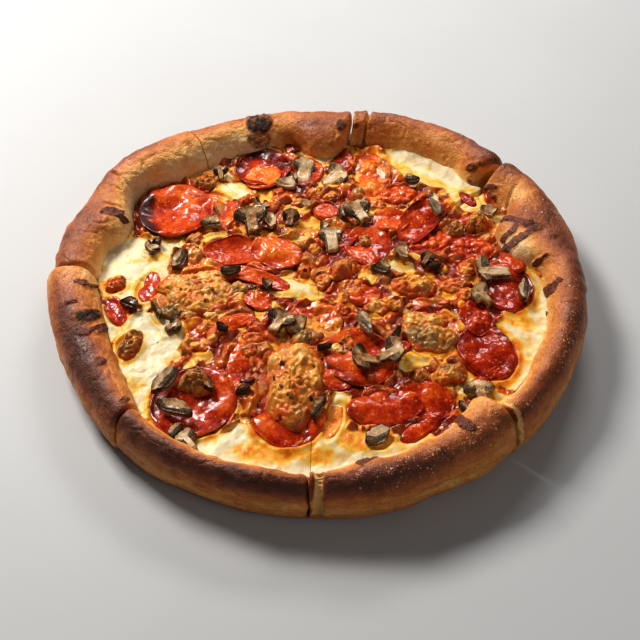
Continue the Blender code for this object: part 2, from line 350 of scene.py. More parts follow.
def place_piece(name: str, shape: Shape, material: Material,
                nodes: tuple[str, ...] = ()) -> bpy.types.Object:
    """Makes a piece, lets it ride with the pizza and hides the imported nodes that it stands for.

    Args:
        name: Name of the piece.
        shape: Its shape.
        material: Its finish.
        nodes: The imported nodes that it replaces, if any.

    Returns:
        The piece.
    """
    piece = make_object(name, shape, material)
    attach(piece, "root")
    if nodes:
        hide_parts(*nodes)
    return piece


# ---------------------------------------------------------------- materials

class Effect(Enum):
    """The effects that several finishes share, by the name of their node group."""
    SPECKS = "specks"
    GRAIN = "grain"
    GREASE = "grease"
    TOAST = "toast"


class Sheet:
    """One node tree, with short methods that add a node and join it up."""

    def __init__(self, tree: bpy.types.NodeTree) -> None:
        """Keeps the tree."""
        self.tree = tree

    def add(self, kind: str, inputs: dict | None = None, **settings: object) -> Node:
        """Adds a node.

        Args:
            kind: Blender's name for the node.
            inputs: A value or a socket for each input, by name or number.
            settings: The node's properties.

        Returns:
            The node.
        """
        node = self.tree.nodes.new(kind)
        for name, value in settings.items():
            setattr(node, name, value)
        for name, value in (inputs or {}).items():
            self.feed(node.inputs[name], value)
        return node

    def feed(self, socket: Socket, value: object) -> None:
        """Links a socket to another, or sets its own value.

        Args:
            socket: The input.
            value: The socket to link from, a number or a triple.
        """
        if isinstance(value, Socket):
            self.tree.links.new(value, socket)
        else:
            socket.default_value = (*value, 1.0) if socket.type == "RGBA" else value

    def math(self, kind: str, first: object, second: object = 0.0) -> Socket:
        """Arithmetic on one or two values, held between 0 and 1 by a kind ending in _CLAMP."""
        return self.add("ShaderNodeMath", {0: first, 1: second}, operation=kind.removesuffix("_CLAMP"),
                        use_clamp=kind.endswith("_CLAMP")).outputs[0]

    def times(self, first: object, second: object) -> Socket:
        """The product of two values."""
        return self.math("MULTIPLY", first, second)

    def total(self, *values: object) -> Socket:
        """The sum of some values."""
        return functools.reduce(lambda one, other: self.math("ADD", one, other), values)

    def span(self, value: object, low: float, high: float, to_low: float = 0.0,
             to_high: float = 1.0) -> Socket:
        """Smooth step of a value from one range to another."""
        inputs = dict(enumerate((value, low, high, to_low, to_high)))
        return self.add("ShaderNodeMapRange", inputs, interpolation_type="SMOOTHSTEP").outputs[0]

    def mix(self, share: object, first: object, second: object) -> Socket:
        """One colour blended into another."""
        return self.add("ShaderNodeMix", {0: share, 6: first, 7: second}, data_type="RGBA").outputs[2]

    def ramp(self, value: object, stops: Stops) -> Socket:
        """A colour for each value.

        Args:
            value: The value, or its socket.
            stops: Places from 0 to 1, each with its colour.

        Returns:
            The colour's socket.
        """
        node = self.add("ShaderNodeValToRGB", {"Fac": value})
        bar = node.color_ramp
        while len(bar.elements) < len(stops):
            bar.elements.new(0.5)
        for element, (place, colour) in zip(bar.elements, stops):
            element.position = place
            element.color = (*colour, 1.0)
        return node.outputs["Color"]

    def bump(self, height: object, depth: float, share: float, under: dict | None = None) -> Socket:
        """A normal bent by a height of depth millimetres, over another bend if there is one."""
        inputs = {"Strength": share, "Distance": depth * MM, "Height": height, **(under or {})}
        return self.add("ShaderNodeBump", inputs).outputs["Normal"]

    def group(self, effect: Effect, output: str, **values: object) -> Socket:
        """Places a shared effect with its own values and gives one of its outputs."""
        inputs = {name.capitalize(): value for name, value in values.items()}
        tree = bpy.data.node_groups[effect.value]
        return self.add("ShaderNodeGroup", inputs, node_tree=tree).outputs[output]


class Effects:
    """Builds each shared effect once, as a node group with named inputs and outputs."""

    def __init__(self) -> None:
        """Builds all four groups."""
        for build in (self.specks, self.grain, self.grease, self.toast):
            build()

    @staticmethod
    def start(effect: Effect, inputs: dict[str, object], *outputs: str) -> tuple:
        """An empty group with its sockets.

        Args:
            effect: Which effect it is.
            inputs: The first value of each input: a number, a colour, or None for a place.
            outputs: Names of the outputs. Colour is a colour, and the others are numbers.

        Returns:
            The sheet to draw on, the values that the group is given, and where its results go.
        """
        tree = bpy.data.node_groups.new(effect.value, "ShaderNodeTree")
        for name, value in inputs.items():
            kind = {type(None): "Vector", tuple: "Color", float: "Float"}[type(value)]
            socket = tree.interface.new_socket(name=name, in_out="INPUT", socket_type=f"NodeSocket{kind}")
            if value is not None:
                socket.default_value = value
        for name in outputs:
            kind = "Color" if name == "Colour" else "Float"
            tree.interface.new_socket(name=name, in_out="OUTPUT", socket_type=f"NodeSocket{kind}")
        sheet = Sheet(tree)
        return sheet, sheet.add("NodeGroupInput").outputs, sheet.add("NodeGroupOutput").inputs

    def specks(self) -> None:
        """Small round specks in some of the cells of a lattice: a mask."""
        sheet, given, result = self.start(
            Effect.SPECKS, {"Point": None, "Scale": 300.0, "Radius": 0.3, "Share": 0.3}, "Mask")
        cell = sheet.add("ShaderNodeTexVoronoi", {"Vector": given["Point"], "Scale": given["Scale"]}).outputs
        own = sheet.add("ShaderNodeSeparateColor", {0: cell["Color"]}).outputs[0]
        chosen = sheet.math("LESS_THAN", own, given["Share"])
        near = sheet.math("DIVIDE", cell["Distance"], given["Radius"])
        sheet.feed(result["Mask"], sheet.times(chosen, sheet.span(near, 1.0, 0.55)))

    def grain(self) -> None:
        """Fine relief: a noise of ever finer layers, less small pits: a height."""
        sheet, given, result = self.start(
            Effect.GRAIN, {"Point": None, "Scale": 200.0, "Pits": 0.3}, "Height")
        where = {"Vector": given["Point"], "Scale": given["Scale"]}
        rough = sheet.add("ShaderNodeTexNoise", where | {"Detail": 4.0, "Roughness": 0.6}).outputs["Fac"]
        pit = sheet.add("ShaderNodeTexVoronoi", where).outputs["Distance"]
        hollow = sheet.times(sheet.span(pit, 0.45, 0.1), given["Pits"])
        sheet.feed(result["Height"], sheet.math("SUBTRACT", rough, hollow))

    def grease(self) -> None:
        """Wet and dry patches: a roughness and a mask of the wet ones."""
        sheet, given, result = self.start(
            Effect.GREASE, {"Point": None, "Scale": 150.0, "Wet": 0.25, "Dry": 0.5, "Share": 0.5},
            "Roughness", "Mask")
        where = {"Vector": given["Point"], "Scale": given["Scale"], "Detail": 3.0}
        cloud = sheet.add("ShaderNodeTexNoise", where).outputs["Fac"]
        wet = sheet.span(sheet.total(cloud, given["Share"]), 0.85, 1.15)
        change = sheet.times(wet, sheet.math("SUBTRACT", given["Wet"], given["Dry"]))
        sheet.feed(result["Roughness"], sheet.total(given["Dry"], change))
        sheet.feed(result["Mask"], wet)

    def toast(self) -> None:
        """Browning and then charring of a colour by a mask from 0 to 1."""
        sheet, given, result = self.start(
            Effect.TOAST, {"Colour": (0.5, 0.5, 0.5, 1.0), "Mask": 0.0, "Brown": (0.17, 0.05, 0.015, 1.0),
                           "Char": (0.012, 0.008, 0.007, 1.0)}, "Colour")
        browned = sheet.mix(sheet.span(given["Mask"], 0.08, 0.55), given["Colour"], given["Brown"])
        charred = sheet.mix(sheet.span(given["Mask"], 0.5, 0.95), browned, given["Char"])
        sheet.feed(result["Colour"], charred)


@dataclass(frozen=True)
class Gloss:
    """How wet a finish is: roughness where wet and dry, the share that is wet, shine, coat and the
    width of a wet patch."""
    wet: float
    dry: float
    share: float
    shine: float
    coat: float
    patch: float


@dataclass(frozen=True)
class Grain:
    """Fine relief: its scale, pits, depth and strength, and depth and strength of the coarser
    relief that lies over it."""
    scale: float
    pits: float
    depth: float
    share: float
    over_depth: float = 0.0
    over_share: float = 0.0


class Recipe(Sheet):
    """The node tree of one material, with its shader and the steps that several finishes take.

    A drift is given by its wave width, reach, detail and roughness.
    """

    def __init__(self, name: str) -> None:
        """Starts a new material.

        Args:
            name: The material's name.
        """
        self.material = bpy.data.materials.new(name)
        self.material.use_nodes = True
        super().__init__(self.material.node_tree)
        self.shader = self.tree.nodes["Principled BSDF"].inputs
        self.point = self.add("ShaderNodeTexCoord").outputs["Object"]

    def noise(self, size: float, detail: float = 3.0, rough: float = 0.55, twist: float = 0.0,
              point: Socket | None = None) -> Socket:
        """Soft noise whose waves are size millimetres wide."""
        return self.add("ShaderNodeTexNoise", {
            "Vector": self.point if point is None else point, "Scale": 1.0 / (size * MM),
            "Detail": detail, "Roughness": rough, "Distortion": twist}).outputs["Fac"]

    def drift(self, size: float, reach: float, detail: float = 4.0, rough: float = 0.6) -> Socket:
        """Soft noise about zero, from minus half the reach to plus half of it."""
        return self.times(self.math("SUBTRACT", self.noise(size, detail, rough), 0.5), reach)

    def painted(self, name: str, *drifts: tuple[float, ...]) -> Socket:
        """A value painted on the mesh, plus some drifts."""
        value = self.add("ShaderNodeAttribute", attribute_name=name).outputs["Fac"]
        return self.total(value, *(self.drift(*drift) for drift in drifts))

    def edged(self, name: str, low: float, high: float, *drifts: tuple[float, ...]) -> Socket:
        """A smooth step over a painted value plus some drifts."""
        return self.span(self.painted(name, *drifts), low, high)

    def specks(self, scale: float, radius: float, share: float) -> Socket:
        """A mask of small round specks."""
        return self.group(Effect.SPECKS, "Mask", point=self.point, scale=scale, radius=radius, share=share)

    def toasted(self, colour: Socket, mask: Socket, brown: Triple) -> Socket:
        """A colour browned and charred by a mask."""
        return self.group(Effect.TOAST, "Colour", colour=colour, mask=mask, brown=brown)

    def grained(self, grain: Grain) -> Socket:
        """A normal bent by fine relief."""
        height = self.group(Effect.GRAIN, "Height", point=self.point, scale=grain.scale, pits=grain.pits)
        return self.bump(height, grain.depth, grain.share)

    def finish(self, colour: Socket, gloss: Gloss, grain: Grain, relief: Socket,
               bare: object = 0.0) -> Material:
        """Feeds the shader.

        Args:
            colour: The colour.
            gloss: How wet the surface is.
            grain: Its fine relief.
            relief: The height of the coarser relief.
            bare: Where there is no coat and the surface is rough, from 0 to 1.

        Returns:
            The material.
        """
        scale = 1.0 / (gloss.patch * MM)
        given = {"point": self.point, "share": gloss.share}
        rough = self.group(Effect.GREASE, "Roughness", scale=scale, wet=gloss.wet, dry=gloss.dry, **given)
        self.feed(self.shader["Base Color"], colour)
        self.feed(self.shader["Roughness"], self.total(rough, self.times(bare, 0.35)))
        self.shader["Specular IOR Level"].default_value = gloss.shine
        if gloss.coat:
            mask = self.group(Effect.GREASE, "Mask", scale=1.4 * scale, **given)
            coat = self.math("SUBTRACT_CLAMP", self.times(mask, gloss.coat), bare)
            self.feed(self.shader["Coat Weight"], coat)
            self.shader["Coat Roughness"].default_value = 0.13
        under = {"Normal": self.grained(grain)}
        self.feed(self.shader["Normal"], self.bump(relief, grain.over_depth, grain.over_share, under))
        return self.material


@dataclass(frozen=True)
class CrustFinish:
    """Baked dough: cream at the wall, gold to dark brown on the crest, with char and flour."""
    shades: Stops = (
        (0.00, (0.88, 0.62, 0.33)), (0.16, (0.80, 0.42, 0.130)), (0.38, (0.60, 0.205, 0.040)),
        (0.58, (0.37, 0.098, 0.021)), (0.80, (0.165, 0.040, 0.013)), (1.00, (0.085, 0.024, 0.011)),
    )
    flour: Triple = (0.64, 0.34, 0.13)
    crumb: Triple = (0.72, 0.42, 0.15)
    brown: Triple = (0.26, 0.075, 0.018)
    scorch: Triple = (0.20, 0.040, 0.016)
    soot: Triple = (0.040, 0.012, 0.008)
    gloss: Gloss = Gloss(0.36, 0.56, 0.50, 0.38, 0.0, 11.0)
    grain: Grain = Grain(850.0, 0.6, 0.34, 0.9, 0.75, 0.75)

    def material(self) -> Material:
        """Builds the looks from the painted values bake, char, scorch, flour and crumb.

        Returns:
            The node material.
        """
        recipe = Recipe("baked_crust")
        bake = recipe.painted("bake", (10.0, 0.46, 6.0, 0.70), (3.4, 0.36, 5.0, 0.7), (0.8, 0.30))
        specks = recipe.math("MAXIMUM", recipe.specks(330.0, 0.30, 0.30), recipe.specks(700.0, 0.36, 0.36))
        dust = recipe.times(specks, recipe.edged("flour", 0.35, 0.75, (7.0, 1.5)))
        colour = recipe.mix(dust, recipe.ramp(bake, self.shades), self.flour)
        colour = recipe.mix(recipe.edged("crumb", 0.35, 0.75, (2.4, 1.3, 5.0, 0.7)), colour, self.crumb)
        burn = recipe.painted("char")
        ragged = recipe.total(recipe.drift(3.0, 1.3, 5.0, 0.7), recipe.drift(1.0, 1.0))
        held = recipe.times(ragged, recipe.span(burn, 0.05, 0.4))
        char = recipe.math("ADD_CLAMP", recipe.times(burn, 0.86), held)
        colour = recipe.toasted(colour, char, self.brown)
        strip = recipe.edged("scorch", 0.40, 0.60, (1.2, 0.9))
        burnt = recipe.mix(recipe.span(recipe.noise(1.5, 4.0, 0.7), 0.42, 0.62), self.scorch, self.soot)
        colour = recipe.mix(recipe.times(strip, 0.96), colour, burnt)
        squat = recipe.add("ShaderNodeMapping", {"Vector": recipe.point, "Scale": (1.0, 1.0, 2.2)})
        wrinkle = recipe.total(recipe.noise(3.2, 4.0, 0.6, 0.6, squat.outputs["Vector"]), dust,
                               recipe.times(strip, recipe.noise(1.1, 4.0, 0.7)))
        return recipe.finish(colour, self.gloss, self.grain, wrinkle, char)


@dataclass(frozen=True)
class FillingFinish:
    """Melted cheese over tomato sauce and crumbled meat, with orange oil on it."""
    cheese: Stops = (
        (0.06, (0.70, 0.59, 0.38)), (0.26, (0.71, 0.53, 0.23)), (0.44, (0.75, 0.43, 0.062)),
        (0.68, (0.74, 0.27, 0.014)), (1.00, (0.54, 0.085, 0.006)),
    )
    # The sauce and meat ramps run from a dark low end, which the valleys between lumps take and which is
    # partly painted shade, up to gold on the lumps' tops.
    sauce: Stops = (
        (0.02, (0.19, 0.018, 0.004)), (0.20, (0.38, 0.040, 0.005)), (0.42, (0.56, 0.110, 0.011)),
        (0.68, (0.72, 0.250, 0.028)), (0.98, (0.84, 0.46, 0.11)),
    )
    meat: Stops = (
        (0.06, (0.14, 0.028, 0.007)), (0.30, (0.36, 0.092, 0.015)), (0.58, (0.59, 0.215, 0.038)),
        (0.92, (0.81, 0.48, 0.16)),
    )
    crumb: Triple = (0.86, 0.60, 0.25)
    brown: Triple = (0.32, 0.085, 0.015)
    gloss: Gloss = Gloss(0.20, 0.46, 0.60, 0.20, 0.44, 6.0)
    grain: Grain = Grain(700.0, 0.5, 0.12, 0.5, 0.45, 0.6)
    glow: tuple[tuple[str, object], ...] = (
        ("Weight", 0.10), ("Radius", (0.004, 0.002, 0.001)), ("Scale", 0.6))

    def material(self) -> Material:
        """Builds the looks from the painted values cheese, oil, rise, meat and toast.

        Returns:
            The node material.
        """
        recipe = Recipe("melted_filling")
        cheese = recipe.edged("cheese", 0.34, 0.62, (3.4, 0.9, 5.0, 0.62))
        cream = recipe.ramp(recipe.painted("oil", (6.0, 1.5, 6.0, 0.66), (1.4, 0.25)), self.cheese)
        # The tone is darker in the valleys between lumps: partly the sauce's deeper red, partly painted
        # shade.
        tone = recipe.painted("rise", (1.5, 0.50, 4.0, 0.7), (6.0, 0.6))
        bits = recipe.times(recipe.specks(230.0, 0.34, 0.12), 0.6)
        sauce = recipe.mix(bits, recipe.ramp(tone, self.sauce), self.crumb)
        sauce = recipe.mix(recipe.edged("meat", 0.40, 0.66, (3.0, 0.8)), sauce, recipe.ramp(tone, self.meat))
        dark = recipe.painted("toast")
        uneven = recipe.math("ADD_CLAMP", dark, recipe.drift(2.2, 0.6))
        toast = recipe.times(recipe.span(dark, 0.0, 0.3), uneven)
        colour = recipe.toasted(recipe.mix(cheese, sauce, cream), toast, self.brown)
        for name, value in self.glow:
            recipe.shader[f"Subsurface {name}"].default_value = value
        rough = recipe.times(recipe.noise(2.0, 4.0, 0.62, 0.4), recipe.span(cheese, 0.0, 1.0, 1.0, 0.45))
        return recipe.finish(colour, self.gloss, self.grain, rough, recipe.times(cheese, 0.42))


@dataclass(frozen=True)
class PepperoniFinish:
    """A cooked slice of cured sausage: deep red, flecked with fat, wrinkled and oily."""
    meat: Stops = (
        (0.10, (0.095, 0.005, 0.002)), (0.34, (0.33, 0.018, 0.003)), (0.56, (0.55, 0.060, 0.006)),
        (0.78, (0.71, 0.160, 0.018)), (0.98, (0.82, 0.320, 0.060)),
    )
    fat: Triple = (0.80, 0.34, 0.15)
    pepper: Triple = (0.060, 0.008, 0.004)
    cheese: Triple = (0.80, 0.33, 0.060)
    brown: Triple = (0.055, 0.006, 0.004)
    gloss: Gloss = Gloss(0.22, 0.46, 0.58, 0.13, 0.36, 5.5)
    grain: Grain = Grain(900.0, 0.5, 0.07, 0.4, 0.40, 0.5)

    def material(self) -> Material:
        """Builds the looks from the painted values tone, char and melt.

        Returns:
            The node material.
        """
        recipe = Recipe("pepperoni")
        colour = recipe.ramp(recipe.painted("tone", (5.0, 0.90, 5.0, 0.68), (1.0, 0.55)), self.meat)
        colour = recipe.mix(recipe.times(recipe.specks(480.0, 0.36, 0.26), 0.42), colour, self.fat)
        colour = recipe.mix(recipe.times(recipe.specks(420.0, 0.26, 0.10), 0.7), colour, self.pepper)
        colour = recipe.mix(recipe.edged("melt", 0.45, 0.8, (3.0, 0.9, 4.0, 0.62)), colour, self.cheese)
        char = recipe.painted("char")
        colour = recipe.toasted(colour, char, self.brown)
        relief = recipe.noise(2.8, 2.0, 0.5, 0.8)
        return recipe.finish(colour, self.gloss, self.grain, relief, recipe.times(char, 0.2))


@dataclass(frozen=True)
class SausageFinish:
    """Browned crumbly meat under a skin of cheese and oil: gold, orange brown and olive."""
    meat: Stops = (
        (0.06, (0.080, 0.020, 0.006)), (0.26, (0.28, 0.075, 0.014)), (0.46, (0.52, 0.165, 0.025)),
        (0.70, (0.73, 0.315, 0.054)), (0.96, (0.87, 0.54, 0.18)),
    )
    stain: Triple = (0.54, 0.080, 0.011)
    olive: Triple = (0.34, 0.215, 0.080)
    dark_olive: Triple = (0.10, 0.060, 0.022)
    brown: Triple = (0.10, 0.018, 0.010)
    gloss: Gloss = Gloss(0.22, 0.50, 0.56, 0.15, 0.32, 5.0)
    grain: Grain = Grain(760.0, 0.6, 0.18, 0.6, 0.55, 0.5)

    def material(self) -> Material:
        """Builds the looks from the painted values tone, stain, olive and char.

        Returns:
            The node material.
        """
        recipe = Recipe("browned_meat")
        tone = recipe.painted("tone", (5.0, 0.95), (1.2, 0.55))
        shaded = recipe.mix(recipe.span(tone, 0.2, 0.8), self.dark_olive, self.olive)
        grey = recipe.times(recipe.edged("olive", 0.35, 0.75, (5.0, 0.7)), 0.85)
        colour = recipe.mix(grey, recipe.ramp(tone, self.meat), shaded)
        stain = recipe.times(recipe.edged("stain", 0.38, 0.85, (3.6, 1.1)), 0.85)
        colour = recipe.toasted(recipe.mix(stain, colour, self.stain), recipe.painted("char"), self.brown)
        return recipe.finish(colour, self.gloss, self.grain, recipe.noise(2.2, 4.0, 0.62))


@dataclass(frozen=True)
class MushroomFinish:
    """Cooked mushroom: beige and grey brown flesh, nearly black gills and a dark skin."""
    flesh: Stops = (
        (0.06, (0.075, 0.030, 0.010)), (0.28, (0.30, 0.120, 0.030)), (0.52, (0.56, 0.340, 0.160)),
        (0.86, (0.80, 0.60, 0.39)),
    )
    gill: Triple = (0.014, 0.010, 0.008)
    skin: Triple = (0.050, 0.027, 0.012)
    stripe: float = 0.9
    lane_span: float = 40.0
    gloss: Gloss = Gloss(0.22, 0.52, 0.58, 0.16, 0.34, 4.0)
    grain: Grain = Grain(700.0, 0.3, 0.22, 0.8, 0.5, 0.7)

    def material(self) -> Material:
        """Builds the looks from the painted values tone, gill, skin and lane.

        The lane is the place across the slice, as a share of the lane span, for its gills.

        Returns:
            The node material.
        """
        recipe = Recipe("mushroom_flesh")
        place = recipe.painted("lane", (3.0, 0.05))
        stripes = recipe.math("SINE", recipe.times(place, math.tau * self.lane_span / self.stripe))
        ragged = recipe.drift(1.6, 0.8, 4.0, 0.65)
        tone = recipe.total(recipe.painted("tone", (4.0, 1.0)), recipe.times(stripes, 0.05),
                            recipe.times(ragged, 0.35))
        skin = recipe.span(recipe.total(recipe.painted("skin"), ragged), 0.35, 0.7)
        colour = recipe.mix(recipe.times(skin, 0.9), recipe.ramp(tone, self.flesh), self.skin)
        gill = recipe.span(recipe.total(recipe.painted("gill"), ragged), 0.35, 0.65)
        lined = recipe.span(stripes, -1.0, 0.9, 0.55, 1.0)
        colour = recipe.mix(recipe.times(gill, lined), colour, self.gill)
        relief = recipe.total(recipe.times(stripes, 0.22), ragged)
        return recipe.finish(colour, self.gloss, self.grain, relief)


@dataclass(frozen=True)
class SpeckFinish:
    """Dried herbs and ground pepper: nearly black, with some dark green and paler sides."""
    dark: Triple = (0.018, 0.013, 0.009)
    green: Triple = (0.055, 0.075, 0.018)
    pale: Triple = (0.13, 0.10, 0.05)
    grain: Grain = Grain(1400.0, 0.3, 0.15, 0.6)

    def material(self) -> Material:
        """Builds the looks from the painted value tone.

        Returns:
            The node material.
        """
        recipe = Recipe("herbs_and_pepper")
        colour = recipe.mix(recipe.edged("tone", 0.6, 0.8), self.dark, self.green)
        pale = recipe.times(recipe.span(recipe.noise(0.5, 3.0, 0.6), 0.5, 0.75), 0.5)
        recipe.feed(recipe.shader["Base Color"], recipe.mix(pale, colour, self.pale))
        recipe.shader["Roughness"].default_value = 0.5
        recipe.feed(recipe.shader["Normal"], recipe.grained(self.grain))
        return recipe.material


@dataclass(frozen=True)
class FloorFinish:
    """A plain pale floor, very slightly uneven."""
    light: Triple = (0.47, 0.465, 0.46)
    shade: Triple = (0.44, 0.435, 0.43)

    def material(self) -> Material:
        """Builds the looks.

        Returns:
            The node material.
        """
        recipe = Recipe("pale_floor")
        colour = recipe.mix(recipe.noise(60.0, 3.0, 0.5), self.light, self.shade)
        recipe.feed(recipe.shader["Base Color"], colour)
        recipe.shader["Roughness"].default_value = 0.6
        return recipe.material


# ---------------------------------------------------------------- the bed of cheese and sauce

CHEESE = tuple(Patch(*row) for row in (
    (-108, 12, 21, 28), (-94, -44, 20, 20), (-97, -68, 20, 16, -25), (-34, -117, 34, 16, -8),
    (8, -117, 28, 16, 8), (-70, -108, 24, 12, -32), (38, -116, 26, 8, 18, 0.9), (124, -30, 10, 34, -6),
    (78, 104, 30, 10, -38), (112, -34, 13, 24, -8), (106, -62, 15, 17, 20), (86, -74, 13, 8, 30),
    (66, 99, 26, 14, -32), (88, 80, 11, 22, 25), (0, 111, 15, 9), (-53, 76, 10, 10, 0, 0.9),
    (-14, -8, 17, 8.5, -8, 0.95), (47, 9, 9, 6, -25), (11, -92, 6, 14, -5, 0.85),
    (53, -57, 7, 13, -30, 0.8), (-10, 31, 7, 5, 0, 0.7), (121, -2, 8, 16, 0, 0.9),
    (-67, 94, 15, 8, -15, 0.75), (112, 52, 8, 7, 0, 0.7), (-93, -86, 10, 8, -30, 0.9),
    (94, -88, 12, 8, 20, 0.8), (-90, 30, 12, 8, 20, 0.8), (-62, 34, 10, 5, 20, 0.55),
    (36, 68, 6, 4, 0, 0.5), (-38, 60, 6, 4, 0, 0.5), (70, -70, 6, 8, 0, 0.6), (80, 66, 5, 5, 0, 0.6),
    (-119, -30, 8, 16, 0, 0.8),
))
OIL = tuple(Patch(*row) for row in (
    (-26, -116, 18, 7, -5, 1.0), (22, -108, 14, 9, 10, 1.0), (-2, -119, 12, 5, 0, 0.8),
    (-62, -106, 10, 5, -20, 0.6), (68, 86, 17, 6, -35, 0.5), (98, -70, 10, 8, 20, 0.8),
    (112, -26, 9, 8, 0, 0.6), (-95, 19, 15, 3, 10, 0.75), (-101, -72, 9, 5, -30, 0.5),
    (-14, -11, 13, 4, -8, 0.7), (78, -62, 7, 9, 0, 0.8), (-85, -18, 6, 9, 0, 0.6), (53, -60, 6, 9, 0, 0.6),
    (48, 100, 9, 7, 0, 0.5), (-74, 66, 6, 16, 20, 0.5), (-5, 33, 8, 4, 0, 0.6),
))
RED = tuple(Patch(*row) for row in (
    (104, -8, 22, 22, 0, 1.0), (72, 28, 30, 18, 20, 0.8), (-40, 2, 26, 9, -22, 0.7),
    (-46, -60, 16, 22, 0, 0.8), (52, 48, 30, 16, 40, 0.7), (84, -28, 20, 12, 0, 0.8),
    (60, -95, 22, 10, 15, 1.0), (10, 20, 16, 14, 0, 0.5), (99, 72, 8, 12, -40, 1.0),
    (-30, 96, 26, 20, 0, 0.6), (16, -78, 12, 8, 0, 0.7), (-122, -12, 8, 22, 15, 0.9),
))


@dataclass(frozen=True)
class Footprint(Oval):
    """Where a topping lies on the bed, how far the bed sinks under it and swells round it, and the
    orange oil that it gives to the cheese round it."""
    sink: float = 0.0
    swell: float = 0.0
    oil: float = 0.0

    def marks(self, x: Array, y: Array) -> Array:
        """What the topping does to each place of the bed.

        Args:
            x: Places across.
            y: Places back.

        Returns:
            The share that is covered, how far it sinks, a ridge of melted cheese that follows a
            bell curve about the outline, and the oil, which falls off by a bell curve outside it.
        """
        outside = (self.reach(x, y) - 1.0) * min(self.half_x, self.half_y)
        inside = 1.0 - ease(outside, -2.0, 0.6)
        return np.stack([inside, self.sink * inside, self.swell * np.exp(-((outside - 0.9) / 1.5) ** 2),
                         self.oil * np.exp(-(np.maximum(outside, 0.0) / 3.2) ** 2)])


@dataclass
class Bed:
    """The surface of the filling: its heights and what is painted on it."""
    edge_level: float = 21.5
    heap: float = 5.0
    reach: float = 125.0
    footprints: list[Footprint] = field(default_factory=list)

    def level(self, x: Array, y: Array) -> Array:
        """The filling's middle height: a low heap, highest in the middle, with soft waves."""
        heap = self.heap * (1.0 - (x * x + y * y) / self.reach ** 2)
        soft = 0.5 * np.sin(x / 19.0 + 1.0) * np.cos(y / 16.0) + 0.4 * np.sin((x + y) / 25.0)
        return self.edge_level + heap + soft

    def low(self, x: Array, y: Array) -> Array:
        """The level with broad humps, on which slices of pepperoni drape."""
        return self.level(x, y) + 0.9 * waves(places(x, y), 24.0, 3)

    def cheese(self, x: Array, y: Array) -> Array:
        """How much cheese shows: the patches, their edges shifted by broad waves, and small gaps.

        Args:
            x: Places across.
            y: Places back.

        Returns:
            A share from 0 to 1.
        """
        place = places(x, y)
        shift_x, shift_y = (4.0 * waves(place, 13.0, seed, 2) for seed in (5, 9))
        gaps = 0.62 * ease(waves(place, 9.0, 21, 2), 0.22, 0.55)
        return np.maximum(cover_of(CHEESE, x + shift_x, y + shift_y, 0.22), gaps)

    def surface(self, x: Array, y: Array) -> tuple[Array, dict[str, Array]]:
        """Heights and painted values of the filling.

        The height is the broad level, plus round lumps of meat and sauce where there is little
        cheese and long soft folds where there is much, less what a topping presses down, plus the
        ridge of cheese round each topping.

        Args:
            x: Places across.
            y: Places back.

        Returns:
            The heights, and the values cheese, oil, rise, meat and toast.
        """
        place = places(x, y)
        cheese = self.cheese(x, y)
        mixed = 1.0 - ease(cheese, 0.25, 0.7)
        bent = place + 2.6 * places(waves(place, 6.0, 41, 2), waves(place, 6.0, 43, 2))
        big, big_own = lumps(bent, 11.0, 51)
        small, _ = lumps(bent, 4.6, 61)
        knobs = 3.8 * big + 1.0 * small * (0.3 + 0.7 * big) + 0.8 * waves(place, 4.0, 71, 2) - 0.7
        wall = ease(np.hypot(x, y), 88.0, 122.0)
        folds = (1.1 * waves(place, 14.0, 81, 2) + (0.25 + 0.5 * wall) * waves(bent, 5.0, 85, 2)
                 + 0.5 * np.abs(waves(bent, 9.0, 87, 2)))
        marks = np.zeros((4, *x.shape))
        for footprint in self.footprints:
            np.maximum(marks, footprint.marks(x, y), out=marks)
        cover, depth, swell, stain = marks
        stain = stain * np.clip(0.75 + 0.7 * waves(place, 7.0, 99, 2), 0.0, 1.0)
        relief = mixed * knobs + (1.0 - mixed) * folds
        height = self.low(x, y) + relief * (1.0 - 0.85 * cover) + swell * (1.0 - cover) - depth
        red = cover_of(RED, x, y, 0.5)
        valley = (1.0 - ease(big, 0.05, 0.45)) * ease(waves(place, 15.0, 97, 2), -0.25, 0.25)
        pools = 0.62 * cover_of(OIL, x + 3.0 * waves(place, 8.0, 91, 2), y, 0.5)
        oil = strongest((pools, 0.50 * (1.0 - ease(cheese, 0.50, 0.95)), stain))
        return height, {
            "cheese": np.maximum(cheese, 0.72 * valley * (1.0 - 0.6 * red)),
            "oil": oil + 0.04 + 0.12 * ease(x, 0.0, 90.0),
            # Rise follows the lumps' height, so the valleys between them come out darker: partly the sauce's
            # deeper red, partly painted shade.
            "rise": 0.05 + 0.42 * big + 0.16 * small + 0.34 * waves(place, 12.0, 93, 2) - 0.12 * red,
            "meat": ease(big_own, 0.30, 0.60) * ease(big, 0.15, 0.50) * (1.0 - 0.60 * red),
            "toast": 0.55 * ease(waves(place, 7.0, 95, 2), 0.45, 0.8) * mixed,
        }


# ---------------------------------------------------------------- crust and filling

@dataclass(frozen=True)
class Rim:
    """One slice's rim: each triple holds its value at the first cut, midway and at the last.

    Push is how far the slice lies out along its middle, bake how much darker it is than the mean,
    open how far each end stands back from its cut, and lean how much further at the inner wall.
    """
    outer: Triple
    inner: Triple
    crest: Triple
    push: float
    bake: Triple
    open: tuple[float, float]
    rounding: tuple[float, float]
    lean: tuple[float, float] = (0.0, 0.0)


